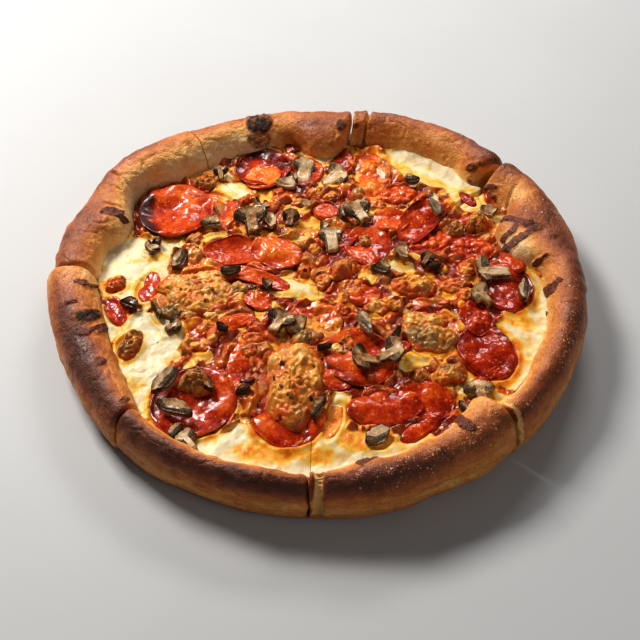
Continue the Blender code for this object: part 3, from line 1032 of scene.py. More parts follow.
@dataclass(frozen=True)
class Groove:
    """A furrow across the rim: its angle, lean, half width, depth, reach over the section and the
    share of torn crumb that it bares."""
    angle: float
    lean: float
    half_width: float
    depth: float
    first: float
    last: float
    crumb: float = 0.0

    def reach(self, angle: Array, section: Array, wander: Array) -> Array:
        """How much of the furrow is at each place.

        Args:
            angle: Angles round the rim.
            section: Places over the rim's section.
            wander: How far the line strays, in degrees.

        Returns:
            1 along its line, falling to 0 by a bell curve beside it and a smooth step at its ends.
        """
        line = self.angle + self.lean * (section - 100.0) * 0.1 + wander
        away = np.radians(angle - line) * RIM_RADIUS / self.half_width
        along = ease(section, self.first - 12.0, self.first + 12.0)
        along = along * (1.0 - ease(section, self.last - 6.0, self.last + 14.0))
        return along * np.exp(-np.abs(away) ** (4 if self.crumb > 0.5 else 2))


@dataclass(frozen=True)
class Streak:
    """A string of burnt cheese on the rim: its half width, and the places it runs through."""
    half_width: float
    route: tuple[tuple[float, float], ...]

    def cover(self, x: Array, y: Array) -> Array:
        """How much of the string is at each place.

        Args:
            x: Places across.
            y: Places back.

        Returns:
            1 on the string and 0 beyond it, by the distance to its nearest stretch, made ragged.
        """
        away = []
        for (ax, ay), (bx, by) in itertools.pairwise(self.route):
            run_x, run_y = bx - ax, by - ay
            share = np.clip(((x - ax) * run_x + (y - ay) * run_y) / (run_x ** 2 + run_y ** 2), 0.0, 1.0)
            away.append(np.hypot(x - ax - share * run_x, y - ay - share * run_y))
        ragged = self.half_width * (1.2 + 0.45 * waves(places(x, y), 3.4, 261, 2))
        return 1.0 - ease(functools.reduce(np.minimum, away) / ragged, 0.6, 1.3)


RIMS = (
    Rim((150.5, 153.0, 152.5), (128.5, 131.0, 126.5), (36.0, 35.5, 38.5), 0.5,
        (0.04, 0.07, 0.00), (0.3, 0.1), (1.8, 2.5)),
    Rim((152.0, 153.0, 148.0), (127.5, 128.5, 124.0), (38.0, 37.0, 37.5), 0.9,
        (0.04, 0.02, -0.06), (2.2, 0.9), (9.0, 1.5), (6.0, 0.0)),
    Rim((148.0, 145.5, 152.0), (124.0, 120.0, 121.5), (38.5, 37.5, 38.5), 0.8,
        (-0.06, -0.12, -0.10), (0.4, -0.25), (3.0, 1.2)),
    Rim((154.5, 157.5, 153.5), (122.0, 126.5, 127.0), (39.0, 38.5, 36.0), 0.8,
        (-0.10, -0.04, 0.02), (-0.25, 0.6), (1.4, 3.0)),
    Rim((157.5, 152.0, 151.0), (127.0, 122.5, 131.0), (36.0, 35.0, 34.0), 0.8,
        (-0.36, 0.27, 0.22), (0.1, 0.1), (1.8, 2.5)),
    Rim((149.5, 148.5, 148.0), (131.5, 131.5, 130.5), (33.0, 33.0, 33.0), 0.9,
        (0.22, 0.24, 0.24), (0.1, 0.3), (2.0, 3.0)),
    Rim((148.5, 149.5, 149.0), (128.5, 124.5, 118.5), (34.0, 37.0, 38.5), 0.9,
        (0.20, 0.15, -0.26), (0.1, 0.2), (0.8, 5.0)),
)
INWARD_BULGES = (
    (15.2, 18.0, 9.3), (88.8, 14.0, 6.9), (144.0, -5.0, 7.0), (160.0, 6.0, 6.0), (43.5, 3.0, 4.0),
)
OUTWARD_BULGES = ((21.0, 4.5, 13.0), (95.0, 1.5, 8.0))

GROOVES = (
    Groove(76.9, 0.05, 1.3, 4.5, 30.0, 176.0, 0.7), Groove(30.4, -0.45, 1.6, 1.8, 105.0, 178.0),
    Groove(148.5, 0.10, 0.9, 1.2, 60.0, 130.0), Groove(152.0, -0.15, 0.7, 0.9, 70.0, 120.0),
    Groove(141.5, 0.30, 1.1, 1.6, 105.0, 178.0), Groove(-44.2, 0.10, 1.5, 1.4, -20.0, 150.0, 0.9),
    Groove(158.0, -0.3, 0.8, 1.0, 85.0, 130.0), Groove(270.0, 0.05, 2.7, 3.0, -35.0, 176.0, 0.9),
)
BURNS = tuple(Patch(*row) for row in (
    (-45.0, 170, 5.2, 10), (-38.0, 170, 5.2, 11, 0, 0.95), (-41, 153, 8.8, 9.5, 0, 0.45),
    (15, 168, 3.6, 6.5, 0, 0.9), (25, 167, 2.6, 3.6, 0, 0.7), (0, 181, 12, 3, 0, 0.35),
    (101, 124, 4.6, 4, 30, 0.8), (108, 127, 4, 2.4, 0, 0.7), (98, 112, 1.6, 2, 0, 0.6),
    (-137.5, -4.5, 8.6, 5.4), (104, -81, 4, 7, -20, 0.45), (-18, -114, 14, 4, -5, 0.35),
))
STREAKS = tuple(Streak(*row) for row in (
    (2.1, ((111, 73), (115, 76), (122, 77), (129, 74), (135, 73))), (3.2, ((133, 71), (138, 70))),
    (2.4, ((138, 69), (130, 63), (123, 57), (117, 50), (115, 47))),
    (1.7, ((125, 71), (122, 66), (117, 61), (115, 57))), (1.1, ((141, 45), (136, 40))),
    (1.9, ((136, 40), (133, 36))), (1.5, ((146, 24), (141, 18))), (2.5, ((141, 18), (136, 12))),
    (1.8, ((134, -3), (133, -5))), (2.3, ((104, 103), (109, 106), (114, 106))),
    (2.0, ((104, 98), (108, 100), (112, 97))), (3.5, ((77, -80), (82, -85))),
    (1.2, ((67, -76), (72, -78), (76, -80))), (2.7, ((22, -108), (25, -106), (29, -103))),
    (1.9, ((-147, 23), (-142, 21))), (1.4, ((-142, 21), (-137, 19), (-133, 18))),
    (2.6, ((-140, -16), (-136, -17.5))), (1.4, ((-136, -17), (-131, -14), (-126, -12))),
    (1.8, ((-128, -16), (-124, -16))), (3.4, ((-136, 84), (-132, 83), (-128, 81))),
    (2.0, ((-128, 81), (-123, 73))), (1.3, ((-149, 5.5), (-146.5, 6.5))), (2.2, ((-126, -39), (-124, -40))),
    (1.7, ((-109, -66), (-107, -67))), (2.5, ((-20, 146), (-20, 143))), (1.2, ((-73, 172), (-69, 173))),
))
# Paler (positive) or darker (negative) patches on the rim's inner half: partly baking, partly painted light
# on the inner wall at the upper left and on the tongue's top at the right.
BAKE_AND_LIGHT_PATCHES = tuple(Patch(*row) for row in (
    (116, 28, 12, 18, 15, 0.16), (-112, 40, 12, 26, -30, 0.2), (-100, 72, 24, 24, 40, 0.22),
    (-4, 120, 18, 9, 0, -0.22), (109, 50, 12, 20, 30, -0.42), (-60, 106, 34, 14, 25, 0.18),
    (118, -12, 8, 34, 0, 0.14), (60, 108, 34, 10, -28, -0.1), (130, 62, 16, 18, 30, 0.16),
    (94, -90, 18, 9, 40, 0.2), (40, -118, 40, 6, 18, 0.12), (-50, -122, 40, 6, -24, 0.12),
))
FLOUR = tuple(Patch(*row) for row in (
    (135, -40, 24, 60, 20, 0.9), (70, -125, 60, 24, 30, 0.9), (132, 60, 26, 40, 30, 0.7),
    (-20, 140, 40, 16, 0, 0.5), (70, 125, 50, 18, -30, 0.5), (-120, 90, 40, 30, 40, 0.4),
))


def swelling(bulges: tuple[Triple, ...], angle: Array) -> Array:
    """How far some bulges stand out.

    Args:
        bulges: Each one's angle, size and half width, which is in degrees.
        angle: Angles round the rim.

    Returns:
        The sum of their flat-topped bell curves.
    """
    total = np.zeros(angle.shape)
    for centre, size, half_width in bulges:
        away = (angle - centre + 180.0) % 360.0 - 180.0
        total += size * np.exp(-(away / half_width) ** 4)
    return total


def crest_of(section: Array, height: Array) -> Array:
    """1 on the upper part of the rim and 0 below it, reaching lower on its inner side."""
    return ease(height + 8.0 * ease(section, 65.0, 95.0), 24.0, 31.0)


class Sliced:
    """What the crust and the filling share: one piece for each slice."""
    name: ClassVar[str]
    kind: ClassVar[str]
    sharp: ClassVar[float]

    def build(self) -> None:
        """Makes all slices, sharp where faces meet at more than an angle."""
        material = self.finish.material()
        for number in range(1, len(RIMS) + 1):
            shape = self.slice_shape(number)
            node = f"{self.kind}_slice_{number}"
            piece = place_piece(f"{self.name}_{number}", shape, material, (node,))
            piece.data.set_sharp_from_angle(angle=math.radians(self.sharp))
            log.info("%s %d: %d points", self.name, number, len(shape.points))


@dataclass
class Crust(Sliced):
    """The dough: under each slice a thin floor, and round it a high rolled rim."""
    finish: CrustFinish
    middle_share: float = 0.486
    wall_lean: float = 2.0
    apex: float = 0.6
    step: float = 0.75
    rim_points: int = 92
    wall_points: int = 9
    floor_points: int = 7
    name, kind, sharp = "dough", "crust", 62.0
    known: tuple[float, ...] = (-75.0, -30.0, 5.0, 35.0, 58.0, 85.0, 110.0, 130.0, 150.0, 170.0, 181.0)
    baked: tuple[float, ...] = (0.48, 0.30, 0.30, 0.50, 0.74, 0.66, 0.47, 0.33, 0.25, 0.12, 0.04)

    def edges(self, rim: Rim, share: Array, angle: Array) -> tuple[Array, Array, Array]:
        """Inner radius, outer radius and crest height at shares of the way round a slice."""
        inner = through_three(rim.inner, share) - swelling(INWARD_BULGES, angle)
        outer = through_three(rim.outer, share) + swelling(OUTWARD_BULGES, angle)
        return inner, outer, through_three(rim.crest, share)

    def span(self, number: int) -> tuple[float, float]:
        """The angles of a slice's first and last cut, the first slice being number 1."""
        return CUTS[number - 1], CUTS[number]

    def shift(self, number: int) -> Array:
        """How far a slice lies out along its middle, as a vector."""
        middle = math.radians(sum(self.span(number)) / 2)
        return RIMS[number - 1].push * np.array([math.cos(middle), math.sin(middle), 0.0])

    def stations(self, number: int) -> Array:
        """Angles of the sections of a slice: even, with closer ones in the roundings at its ends.

        Args:
            number: The slice's number, from 1.

        Returns:
            The angles, from its first cut to its last.
        """
        rim = RIMS[number - 1]
        gaps, rounds = (np.degrees(np.array(ends) / RIM_RADIUS) for ends in (rim.open, rim.rounding))
        first, last = self.span(number)
        first, last = first + gaps[0], last - gaps[1]
        inside = (first + rounds[0], last - rounds[1])
        count = int((inside[1] - inside[0]) * math.radians(RIM_RADIUS) / self.step)
        near = 1 - np.cos(np.linspace(0, math.pi / 2, 6)[:-1])
        return np.concatenate([first + rounds[0] * near, np.linspace(*inside, count),
                               (last - rounds[1] * near)[::-1]])

    @staticmethod
    def relief(place: Array, section: Array) -> Array:
        """Unevenness along the rim's normals.

        Waves of four widths, broad dents on the inner side, soft domes, streaks along the outer
        side and thin creases on the crest.

        Args:
            place: Places in space.
            section: Where each lies over the rim's section.

        Returns:
            How far each one moves out.
        """
        relief = (1.4 * waves(place, 30.0, 201) + 0.70 * waves(place, 12.0, 203, 2)
                  + 0.34 * waves(place, 4.2, 207, 2) + 0.17 * waves(place, 1.9, 211))
        relief += 2.0 * waves(place * (1.0, 1.0, 0.5), 21.0, 205) * ease(section, 95.0, 140.0)
        relief += 0.9 * ease(lumps(place, 11.0, 215)[0], 0.55, 1.0)
        relief += 0.7 * waves(place * (0.5, 0.5, 2.0), 9.0, 213, 3) * (1 - ease(section, 15, 55))
        crease = np.abs(waves(place * (1.0, 1.0, 2.5), 17.0, 219, 2))
        relief -= 0.45 * (1 - ease(crease, 0.0, 0.07)) * ease(section, 40.0, 80.0)
        seen = cast(place)
        burnt = 1.3 * strongest(string.cover(*seen) for string in STREAKS) + 1.1 * cover_of(BURNS, *seen, 0.3)
        return relief + burnt * (0.6 + 1.0 * waves(place, 2.2, 221, 2)) * crest_of(section, place[..., 2])

    def slice_shape(self, number: int) -> Shape:
        """One slice of dough.

        Each section starts at the apex, runs out along the underside, over the rim, whose outline
        is an ellipse cut off at the ground, down the inner wall and back along the floor. The rim
        is moved along its own normals by its relief, by the furrows, and inwards by a quarter
        circle at each cut. The cut itself wanders by a wave that both its sides share.

        Args:
            number: The slice, from 1.

        Returns:
            The slice with the painted values bake, char, scorch, flour and crumb.
        """
        rim = RIMS[number - 1]
        first, last = self.span(number)
        angle = self.stations(number)[:, None]
        share = (angle - first) / (last - first)
        inner, outer, crest = self.edges(rim, share, angle)
        middle, half = 0.5 * (inner + outer), 0.5 * (outer - inner)
        level = self.middle_share * crest
        rise = crest - level
        base = -np.arcsin(level / rise)
        turn = base + (math.pi - base) * np.linspace(0.0, 1.0, self.rim_points)[None, :]
        degrees = np.degrees(turn)
        counts = (self.floor_points, self.rim_points, self.wall_points, self.floor_points)

        def section_of(*parts: object) -> Array:
            """Joins values along the underside, the rim, the wall and the floor of each section."""
            return np.concatenate([np.broadcast_to(part, (len(angle), count))
                                   for part, count in zip(parts, counts)], axis=1)

        tongue = np.clip(swelling(INWARD_BULGES, angle) / 17.0, 0.0, 1.0)
        power = 1.0 - 0.45 * tongue * ease(degrees, 80.0, 110.0)
        rim_r = middle + half * np.cos(turn)
        rim_z = level + rise * np.sign(np.sin(turn)) * np.abs(np.sin(turn)) ** power
        under, back = (np.linspace(0.0, 1.0, self.floor_points + 1)[None, part]
                       for part in (slice(None, -1), slice(1, None)))
        down = np.linspace(0.0, 1.0, self.wall_points + 1)[None, 1:]
        wall_foot = inner - self.wall_lean
        radius = section_of(self.apex + (rim_r[:, :1] - self.apex) * under, rim_r,
                            inner - self.wall_lean * down, wall_foot * (1 - back) + self.apex * back)
        height = section_of(0.0, rim_z, level + (FLOOR_OF_DOUGH - level) * down, FLOOR_OF_DOUGH)
        section = section_of(-75.0, degrees, 181.0, 181.0)
        moved = section_of(0.0, ease(rim_z, 0.5, 5.0), 1.0 - down, 0.0)
        out = section_of(0.0, rise * np.cos(turn), -rise, 0.0)
        up = section_of(0.0, half * np.sin(turn), 0.0, 0.0)
        size = np.maximum(np.hypot(out, up), 1e-9)
        around = np.radians(angle)
        place = places(radius * np.cos(around), radius * np.sin(around), height)

        ends = tuple(np.radians(away) * RIM_RADIUS - gap
                     for away, gap in zip((angle - first, last - angle), rim.open))
        inset = sum(rounding * (1.0 - np.sqrt(1.0 - np.clip(1.0 - end / rounding, 0.0, 1.0) ** 2))
                    for end, rounding in zip(ends, rim.rounding))
        wander = 0.35 * waves(place, 7.0, 223, 2)
        reaches = [groove.reach(angle, section, wander) for groove in GROOVES]
        furrow = strongest(groove.depth * reach for groove, reach in zip(GROOVES, reaches))
        torn = strongest(groove.crumb * reach for groove, reach in zip(GROOVES, reaches))
        push = self.relief(place, section) + 2.0 * torn * waves(place, 3.2, 225, 3) - inset - furrow
        push = push * moved
        shared = 1.7 * waves(places(radius, height), 11.0, 230, 2)
        inwards = np.clip((outer - radius) / (outer - inner), 0.0, 1.2)
        slip = sum(shared * np.exp(-end / 7.0) + sign * lean * inwards * np.exp(-end / 12.0)
                   for sign, end, lean in zip((1.0, -1.0), ends, rim.lean))
        around = around + slip * (radius > 100.0) / RIM_RADIUS
        radius = radius + out / size * push
        height = np.maximum(height + up / size * push, 0.0)
        points = places(radius * np.cos(around), radius * np.sin(around), height) + self.shift(number)

        count, row = points.shape[:2]
        paint = self.painted(rim, share, section, points, push, inset, furrow, torn)
        return Shape(points.reshape(-1, 3), ring_quads(count, row), np.zeros((0, 3), dtype=np.int64),
                     {name: value.ravel() for name, value in paint.items()},
                     [np.arange(row)[::-1], (count - 1) * row + np.arange(row)]).outward()

    def painted(self, rim: Rim, share: Array, section: Array, points: Array, push: Array,
                inset: Array, furrow: Array, torn: Array) -> dict[str, Array]:
        """How the dough is baked, burnt and floured.

        Browning follows the place in the section, dark on the outer shoulder and cream at the
        inner wall, plus the slice's own share and broad waves. Patches make the inner half paler or
        darker, partly as baking and partly as painted light on the inner wall. What stands out is
        darker than what lies deep, and the furrows and cuts show pale crumb.

        Args:
            rim: The slice's rim.
            share: Share of the way round the slice.
            section: Place in the section, in degrees of the rim's ellipse.
            points: The finished points.
            push: How far each point was moved along its normal.
            inset: How far each end was rounded.
            furrow: Depth of the furrows.
            torn: Where crumb is bared.

        Returns:
            The values bake, char, scorch, flour and crumb.
        """
        x, y, z = points[..., 0], points[..., 1], points[..., 2]
        around = np.degrees(np.arctan2(y, x))
        streaks = waves(places(around * 0.22, z / 1.5), 1.0, 241, 2) * (1 - ease(section, 10, 45))
        crest = 0.25 + 0.75 * ease(section, 5.0, 45.0) * (1.0 - ease(section, 70.0, 115.0))
        bake = (np.interp(section, self.known, self.baked) + crest * through_three(rim.bake, share)
                + 0.13 * streaks + 0.16 * waves(points, 19.0, 243, 2) * ease(section, 0.0, 60.0)
                + 0.035 * push)
        # Patches pale or darken the inner half: partly baking, partly painted light on the inner wall.
        paler = sum(shade.cover(x, y, 0.6) for shade in BAKE_AND_LIGHT_PATCHES)
        bake = bake + 0.05 * ease(inset, 0.3, 2.0) - paler * ease(section, 50.0, 85.0)
        top = crest_of(section, z)
        shift_x, shift_y = (1.6 * waves(points, 6.0, seed, 2) for seed in (251, 257))
        ends = np.zeros_like(x)
        ends[:2], ends[-2:] = ease(rim.open[0], 0.5, 1.0), ease(rim.open[1], 0.5, 1.0)
        seen_x, seen_y = cast(points)
        scorch = strongest(string.cover(seen_x + 0.3 * shift_x, seen_y + 0.3 * shift_y) for string in STREAKS)
        char = cover_of(BURNS, seen_x + 0.6 * shift_x, seen_y + 0.6 * shift_y, 0.25)
        return {"bake": bake - 0.16 * ease(furrow, 0.8, 1.7), "char": char * top, "scorch": scorch * top,
                "flour": cover_of(FLOUR, x, y, 0.5), "crumb": np.maximum(0.9 * ends, torn)}


@dataclass
class Filling(Sliced):
    """The cheese, sauce and crumbs that fill the dough."""
    finish: FillingFinish
    crust: Crust
    bed: Bed
    apex: float = 0.8
    radius: float = 126.0
    step: float = 0.6
    overlap: float = 0.9
    gap: float = -0.24
    name, kind, sharp = "melted_filling", "filling", 75.0

    def slice_shape(self, number: int) -> Shape:
        """One slice of filling: a fan of points over the dough, with its sides straight down.

        Args:
            number: The slice, from 1.

        Returns:
            The slice with the bed's painted values.
        """
        first, last = self.crust.span(number)
        columns, rows = (int(length / self.step) for length in (math.radians(last - first) * self.radius,
                                                                self.radius))
        angle = np.linspace(first, last, columns)[:, None]
        share = (angle - first) / (last - first)
        inner = self.crust.edges(RIMS[number - 1], share, angle)[0] + self.overlap
        radius = self.apex + (inner - self.apex) * np.linspace(0.0, 1.0, rows)[None, :]
        x, y = radius * np.cos(np.radians(angle)), radius * np.sin(np.radians(angle))
        height, paint = self.bed.surface(x, y)
        at_first = angle - first < last - angle
        nearer = np.minimum(np.minimum(angle - first, last - angle), 90.0)
        to_cut = radius * np.sin(np.radians(nearer))
        depth = np.where(np.where(at_first, first, last) == CUTS[1], 3.2, 0.35)
        drop = depth * np.exp(-(to_cut / 1.2) ** 2) * ease(radius, 20.0, 60.0)
        to_wall = inner - radius
        climb = 0.5 * np.exp(-(to_wall / 2.0) ** 2) - 0.5 * np.exp(-((to_wall - 6.0) / 4.0) ** 2)
        # Darker by the depth of the dip along a cut: painted shade in the crease.
        paint["rise"] = paint["rise"] - 0.12 * ease(drop, 0.4, 2.5)
        paint["toast"] = paint["toast"] + 0.25 * np.exp(-(to_wall / 1.5) ** 2)
        side = np.radians(angle + 90.0)
        inward = np.where(at_first, 1.0, -1.0) * self.gap * np.exp(-(to_cut / 2.5) ** 2)
        points = places(x + inward * np.cos(side), y + inward * np.sin(side), height - drop + climb)
        return self.slab(points + self.crust.shift(number), paint, FLOOR_OF_DOUGH - 0.5)

    @staticmethod
    def slab(points: Array, paint: dict[str, Array], floor: float) -> Shape:
        """A grid of points as the top of a body with upright sides and a flat underside.

        Args:
            points: The top, of shape (columns, rows, 3).
            paint: Values at the top's points.
            floor: Height of the underside.

        Returns:
            The closed body. Its underside is a fan about the mean of its corners.
        """
        columns, rows = points.shape[:2]
        index = np.arange(columns * rows).reshape(columns, rows)
        corners = (index[:-1, :-1], index[1:, :-1], index[1:, 1:], index[:-1, 1:])
        top = np.stack([corner.ravel() for corner in corners], axis=-1)
        border = np.concatenate([index[:, 0], index[-1, 1:], index[-2::-1, -1], index[0, -2:0:-1]])
        flat = points.reshape(-1, 3)
        foot = flat[border].copy()
        foot[:, 2] = floor
        start, count = len(flat), len(border)
        low = start + np.arange(count)
        beside = np.roll(np.arange(count), -1)
        sides = np.stack([border[beside], border, low, low[beside]], axis=-1)
        fan = np.stack([low, np.full(count, start + count), low[beside]], axis=-1)
        values = {name: np.concatenate([value.ravel(), value.ravel()[border], [0.5]])
                  for name, value in paint.items()}
        return Shape(np.concatenate([flat, foot, [foot.mean(axis=0)]]), np.concatenate([top, sides]),
                     fan, values).outward()


# ---------------------------------------------------------------- toppings

def seat_of(node: str) -> Triple:
    """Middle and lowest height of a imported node, about the crossing of the cuts."""
    low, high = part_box(node)
    middle = (low + high) / (2.0 * MM)
    return middle.x - CROSSING[0], middle.y - CROSSING[1], low.z / MM


class Topping:
    """What the toppings share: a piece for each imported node, and one of all the smaller ones.

    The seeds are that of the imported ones, that of the smaller ones and the step from each to the
    next. A piece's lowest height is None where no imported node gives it.
    """
    kind: ClassVar[str]
    piece: ClassVar[str]
    rest: ClassVar[str]
    placed: ClassVar[tuple]
    loose: ClassVar[tuple]
    seeds: ClassVar[tuple[int, int, int]]

    def leave_footprints(self) -> None:
        """Tells the bed where all of them lie."""
        for number, item in enumerate(self.placed, 1):
            x, y, _ = seat_of(f"{self.kind}_{number:02d}")
            self.bed.footprints.append(self.footprint(item, x, y))
        self.bed.footprints.extend(self.footprint(item, item.x, item.y) for item in self.loose)

    def build(self) -> None:
        """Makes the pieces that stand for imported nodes, and the smaller ones as one piece."""
        material = self.finish.material()
        first, first_loose, step = self.seeds
        for number, item in enumerate(self.placed, 1):
            node = f"{self.kind}_{number:02d}"
            x, y, low = seat_of(node)
            shape = self.shape(item, x, y, low, first + step * number)
            place_piece(f"{node}_{self.piece}", shape, material, (node,))
        small = [self.shape(item, item.x, item.y, None, first_loose + step * number)
                 for number, item in enumerate(self.loose)]
        place_piece(self.rest, joined(small), material)
        log.info("%s: %d pieces and %d smaller ones", self.kind, len(self.placed), len(small))


@dataclass(frozen=True)
class Round:
    """A slice of pepperoni: half sizes, turn, rise of its edge, rise of its long sides and looks.

    Curl lifts parts of the edge, tone is how light the red is, char how dark its burnt side is and
    melt how much orange cheese lies on it. Its place and its height over the bed count only where
    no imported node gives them.
    """
    half_length: float
    half_width: float
    turn: float
    cup: float
    fold: float
    curl: float
    tone: float
    char: float
    char_side: float
    melt: float
    bumps: float
    x: float = 0.0
    y: float = 0.0
    lift: float = 0.0


ROUNDS = tuple(Round(*row) for row in (
    (20, 19.5, 0, 0, 0, 0.4, 0.62, 0.0, 0, 0.45, 0.5), (23, 22, 0, 3.0, 0, 1.6, 0.5, 0.62, 185, 0.05, 0.2),
    (18, 18, 20, 4.0, 0, 2.6, 0.3, 0.45, 100, 0.05, 0.2),
    (26, 11.5, 88, 0, -4.0, 0.8, 0.68, 0.1, 0, 0.25, 0.9),
    (19, 12, -6, 0.5, 2.4, 2.0, 0.62, 0.08, 180, 0.05, 0.3),
    (16, 11.5, -35, 0.5, -1.6, 1.4, 0.62, 0.05, 0, 0.1, 0.3),
    (12, 7, 80, 0, -2.0, 0.8, 0.46, 0.1, 0, 0.1, 0.5),
    (23.5, 21.5, 0, 2.5, 0, 1.0, 0.42, 0.35, 150, 0.1, 0.3),
    (20, 20, 0, 1.0, 0, 0.6, 0.48, 0.25, 180, 0.2, 0.4), (16, 12, -10, 1.0, 0, 0.8, 0.42, 0.1, 0, 0.1, 0.4),
    (20.5, 11.5, 10, 0, -3.0, 1.2, 0.5, 0.3, 200, 0.05, 0.3),
    (20, 16.5, 100, 1.5, 0, 1.0, 0.3, 0.1, 0, 0.1, 0.5),
    (19, 16, 95, 1.5, 0, 0.8, 0.27, 0.05, 0, 0.15, 0.4),
    (20.5, 19, 0, 2.5, 0, 1.6, 0.46, 0.4, 230, 0.15, 0.4),
    (17, 14, 0, 1.0, 0, 0.6, 0.52, 0.05, 0, 0.55, 0.8), (17, 14, 90, 1.5, 0, 1.2, 0.42, 0.1, 0, 0.1, 0.6),
    (24, 11, 55, 0, 4.0, 1.6, 0.4, 0.15, 0, 0.1, 0.4), (12, 6, -63, 0, 2.0, 0.8, 0.44, 0.1, 0, 0.15, 0.3),
))
LOOSE_ROUNDS = tuple(Round(*row) for row in (
    (12, 11, 60, 2.0, 0, 1.2, 0.66, 0.15, 80, 0.3, 0.5, -35, 87, 2.2),
    (13, 7, 80, 1.0, -1.5, 0.8, 0.26, 0.2, 90, 0.0, 0.3, 15, 104, 0.8),
    (11, 10.5, 0, 1.0, 0, 0.8, 0.62, 0.0, 0, 0.05, 0.3, 43, 47, 2.6),
    (24, 5.5, -22, 0, 1.6, 0.8, 0.56, 0.1, 150, 0.1, 0.3, -38, 1.5, 1.8),
    (13, 9, 100, 0.5, 0, 0.8, 0.4, 0.05, 0, 0.15, 0.8, 88, -28, 0.8),
    (14, 5, 35, 0, -1.2, 1.0, 0.4, 0.15, 200, 0.05, 0.2, 53, -102, 0.8),
    (12, 3.0, 40, 0, -0.8, 1.2, 0.44, 0.1, 200, 0.0, 0.2, 89, -71, 1.4),
    (13, 5, 72, 0, 1.0, 0.8, 0.8, 0.0, 0, 0.6, 0.3, 7, -99, -0.4),
    (12, 9, 20, 0, -1.0, 0.6, 0.52, 0.0, 0, 0.25, 1.0, 49, 72, 1.4),
    (15, 10, 30, 0.5, 0, 0.4, 0.48, 0.0, 0, 0.2, 1.2, 66, 31, 1.2),
    (14, 10, -15, 0.5, 0, 0.4, 0.46, 0.0, 0, 0.2, 1.2, 90, 28, 1.2),
    (13, 11, 80, 0.5, 0, 1.0, 0.44, 0.05, 0, 0.1, 0.3, -8, 94, 0.6),
    (8, 7, 0, 0.5, 0, 0.8, 0.46, 0.05, 0, 0.15, 0.5, 4, 56, 1.4),
    (11, 6, 25, 0, -1.2, 0.8, 0.56, 0.05, 0, 0.2, 0.6, -47, -32, 1.2),
    (9, 6, -35, 0, 1.2, 0.8, 0.6, 0.0, 0, 0.2, 0.6, -35, -17, 1.4),
    (14, 7, 85, 0, -1.0, 0.8, 0.42, 0.1, 0, 0.1, 0.6, -44, -62, 0.8),
    (4.5, 4, 0, 0.5, 0, 0.3, 0.48, 0.0, 0, 0.05, 0.2, 46, -50, 1.8),
    (8, 4, -60, 0, -0.8, 0.6, 0.3, 0.0, 0, 0.0, 0.1, 92, 70, 0.6),
    (9, 4, 35, 0, -1.0, 0.5, 0.46, 0.0, 0, 0.1, 0.4, 90, 52, 1.0),
    (10, 6, 60, 0, 1.0, 0.8, 0.44, 0.05, 0, 0.1, 0.5, 16, 33, 0.8),
    (9, 7, 120, 0.5, 0, 0.8, 0.42, 0.0, 0, 0.15, 0.5, 113, 16, 0.8),
    (12, 7, -20, 0.5, 0, 0.6, 0.46, 0.0, 0, 0.2, 0.7, 6, -72, 0.8),
    (10, 8, 10, 0.5, 0, 0.6, 0.46, 0.05, 0, 0.3, 0.9, 26, -13, 1.0),
))


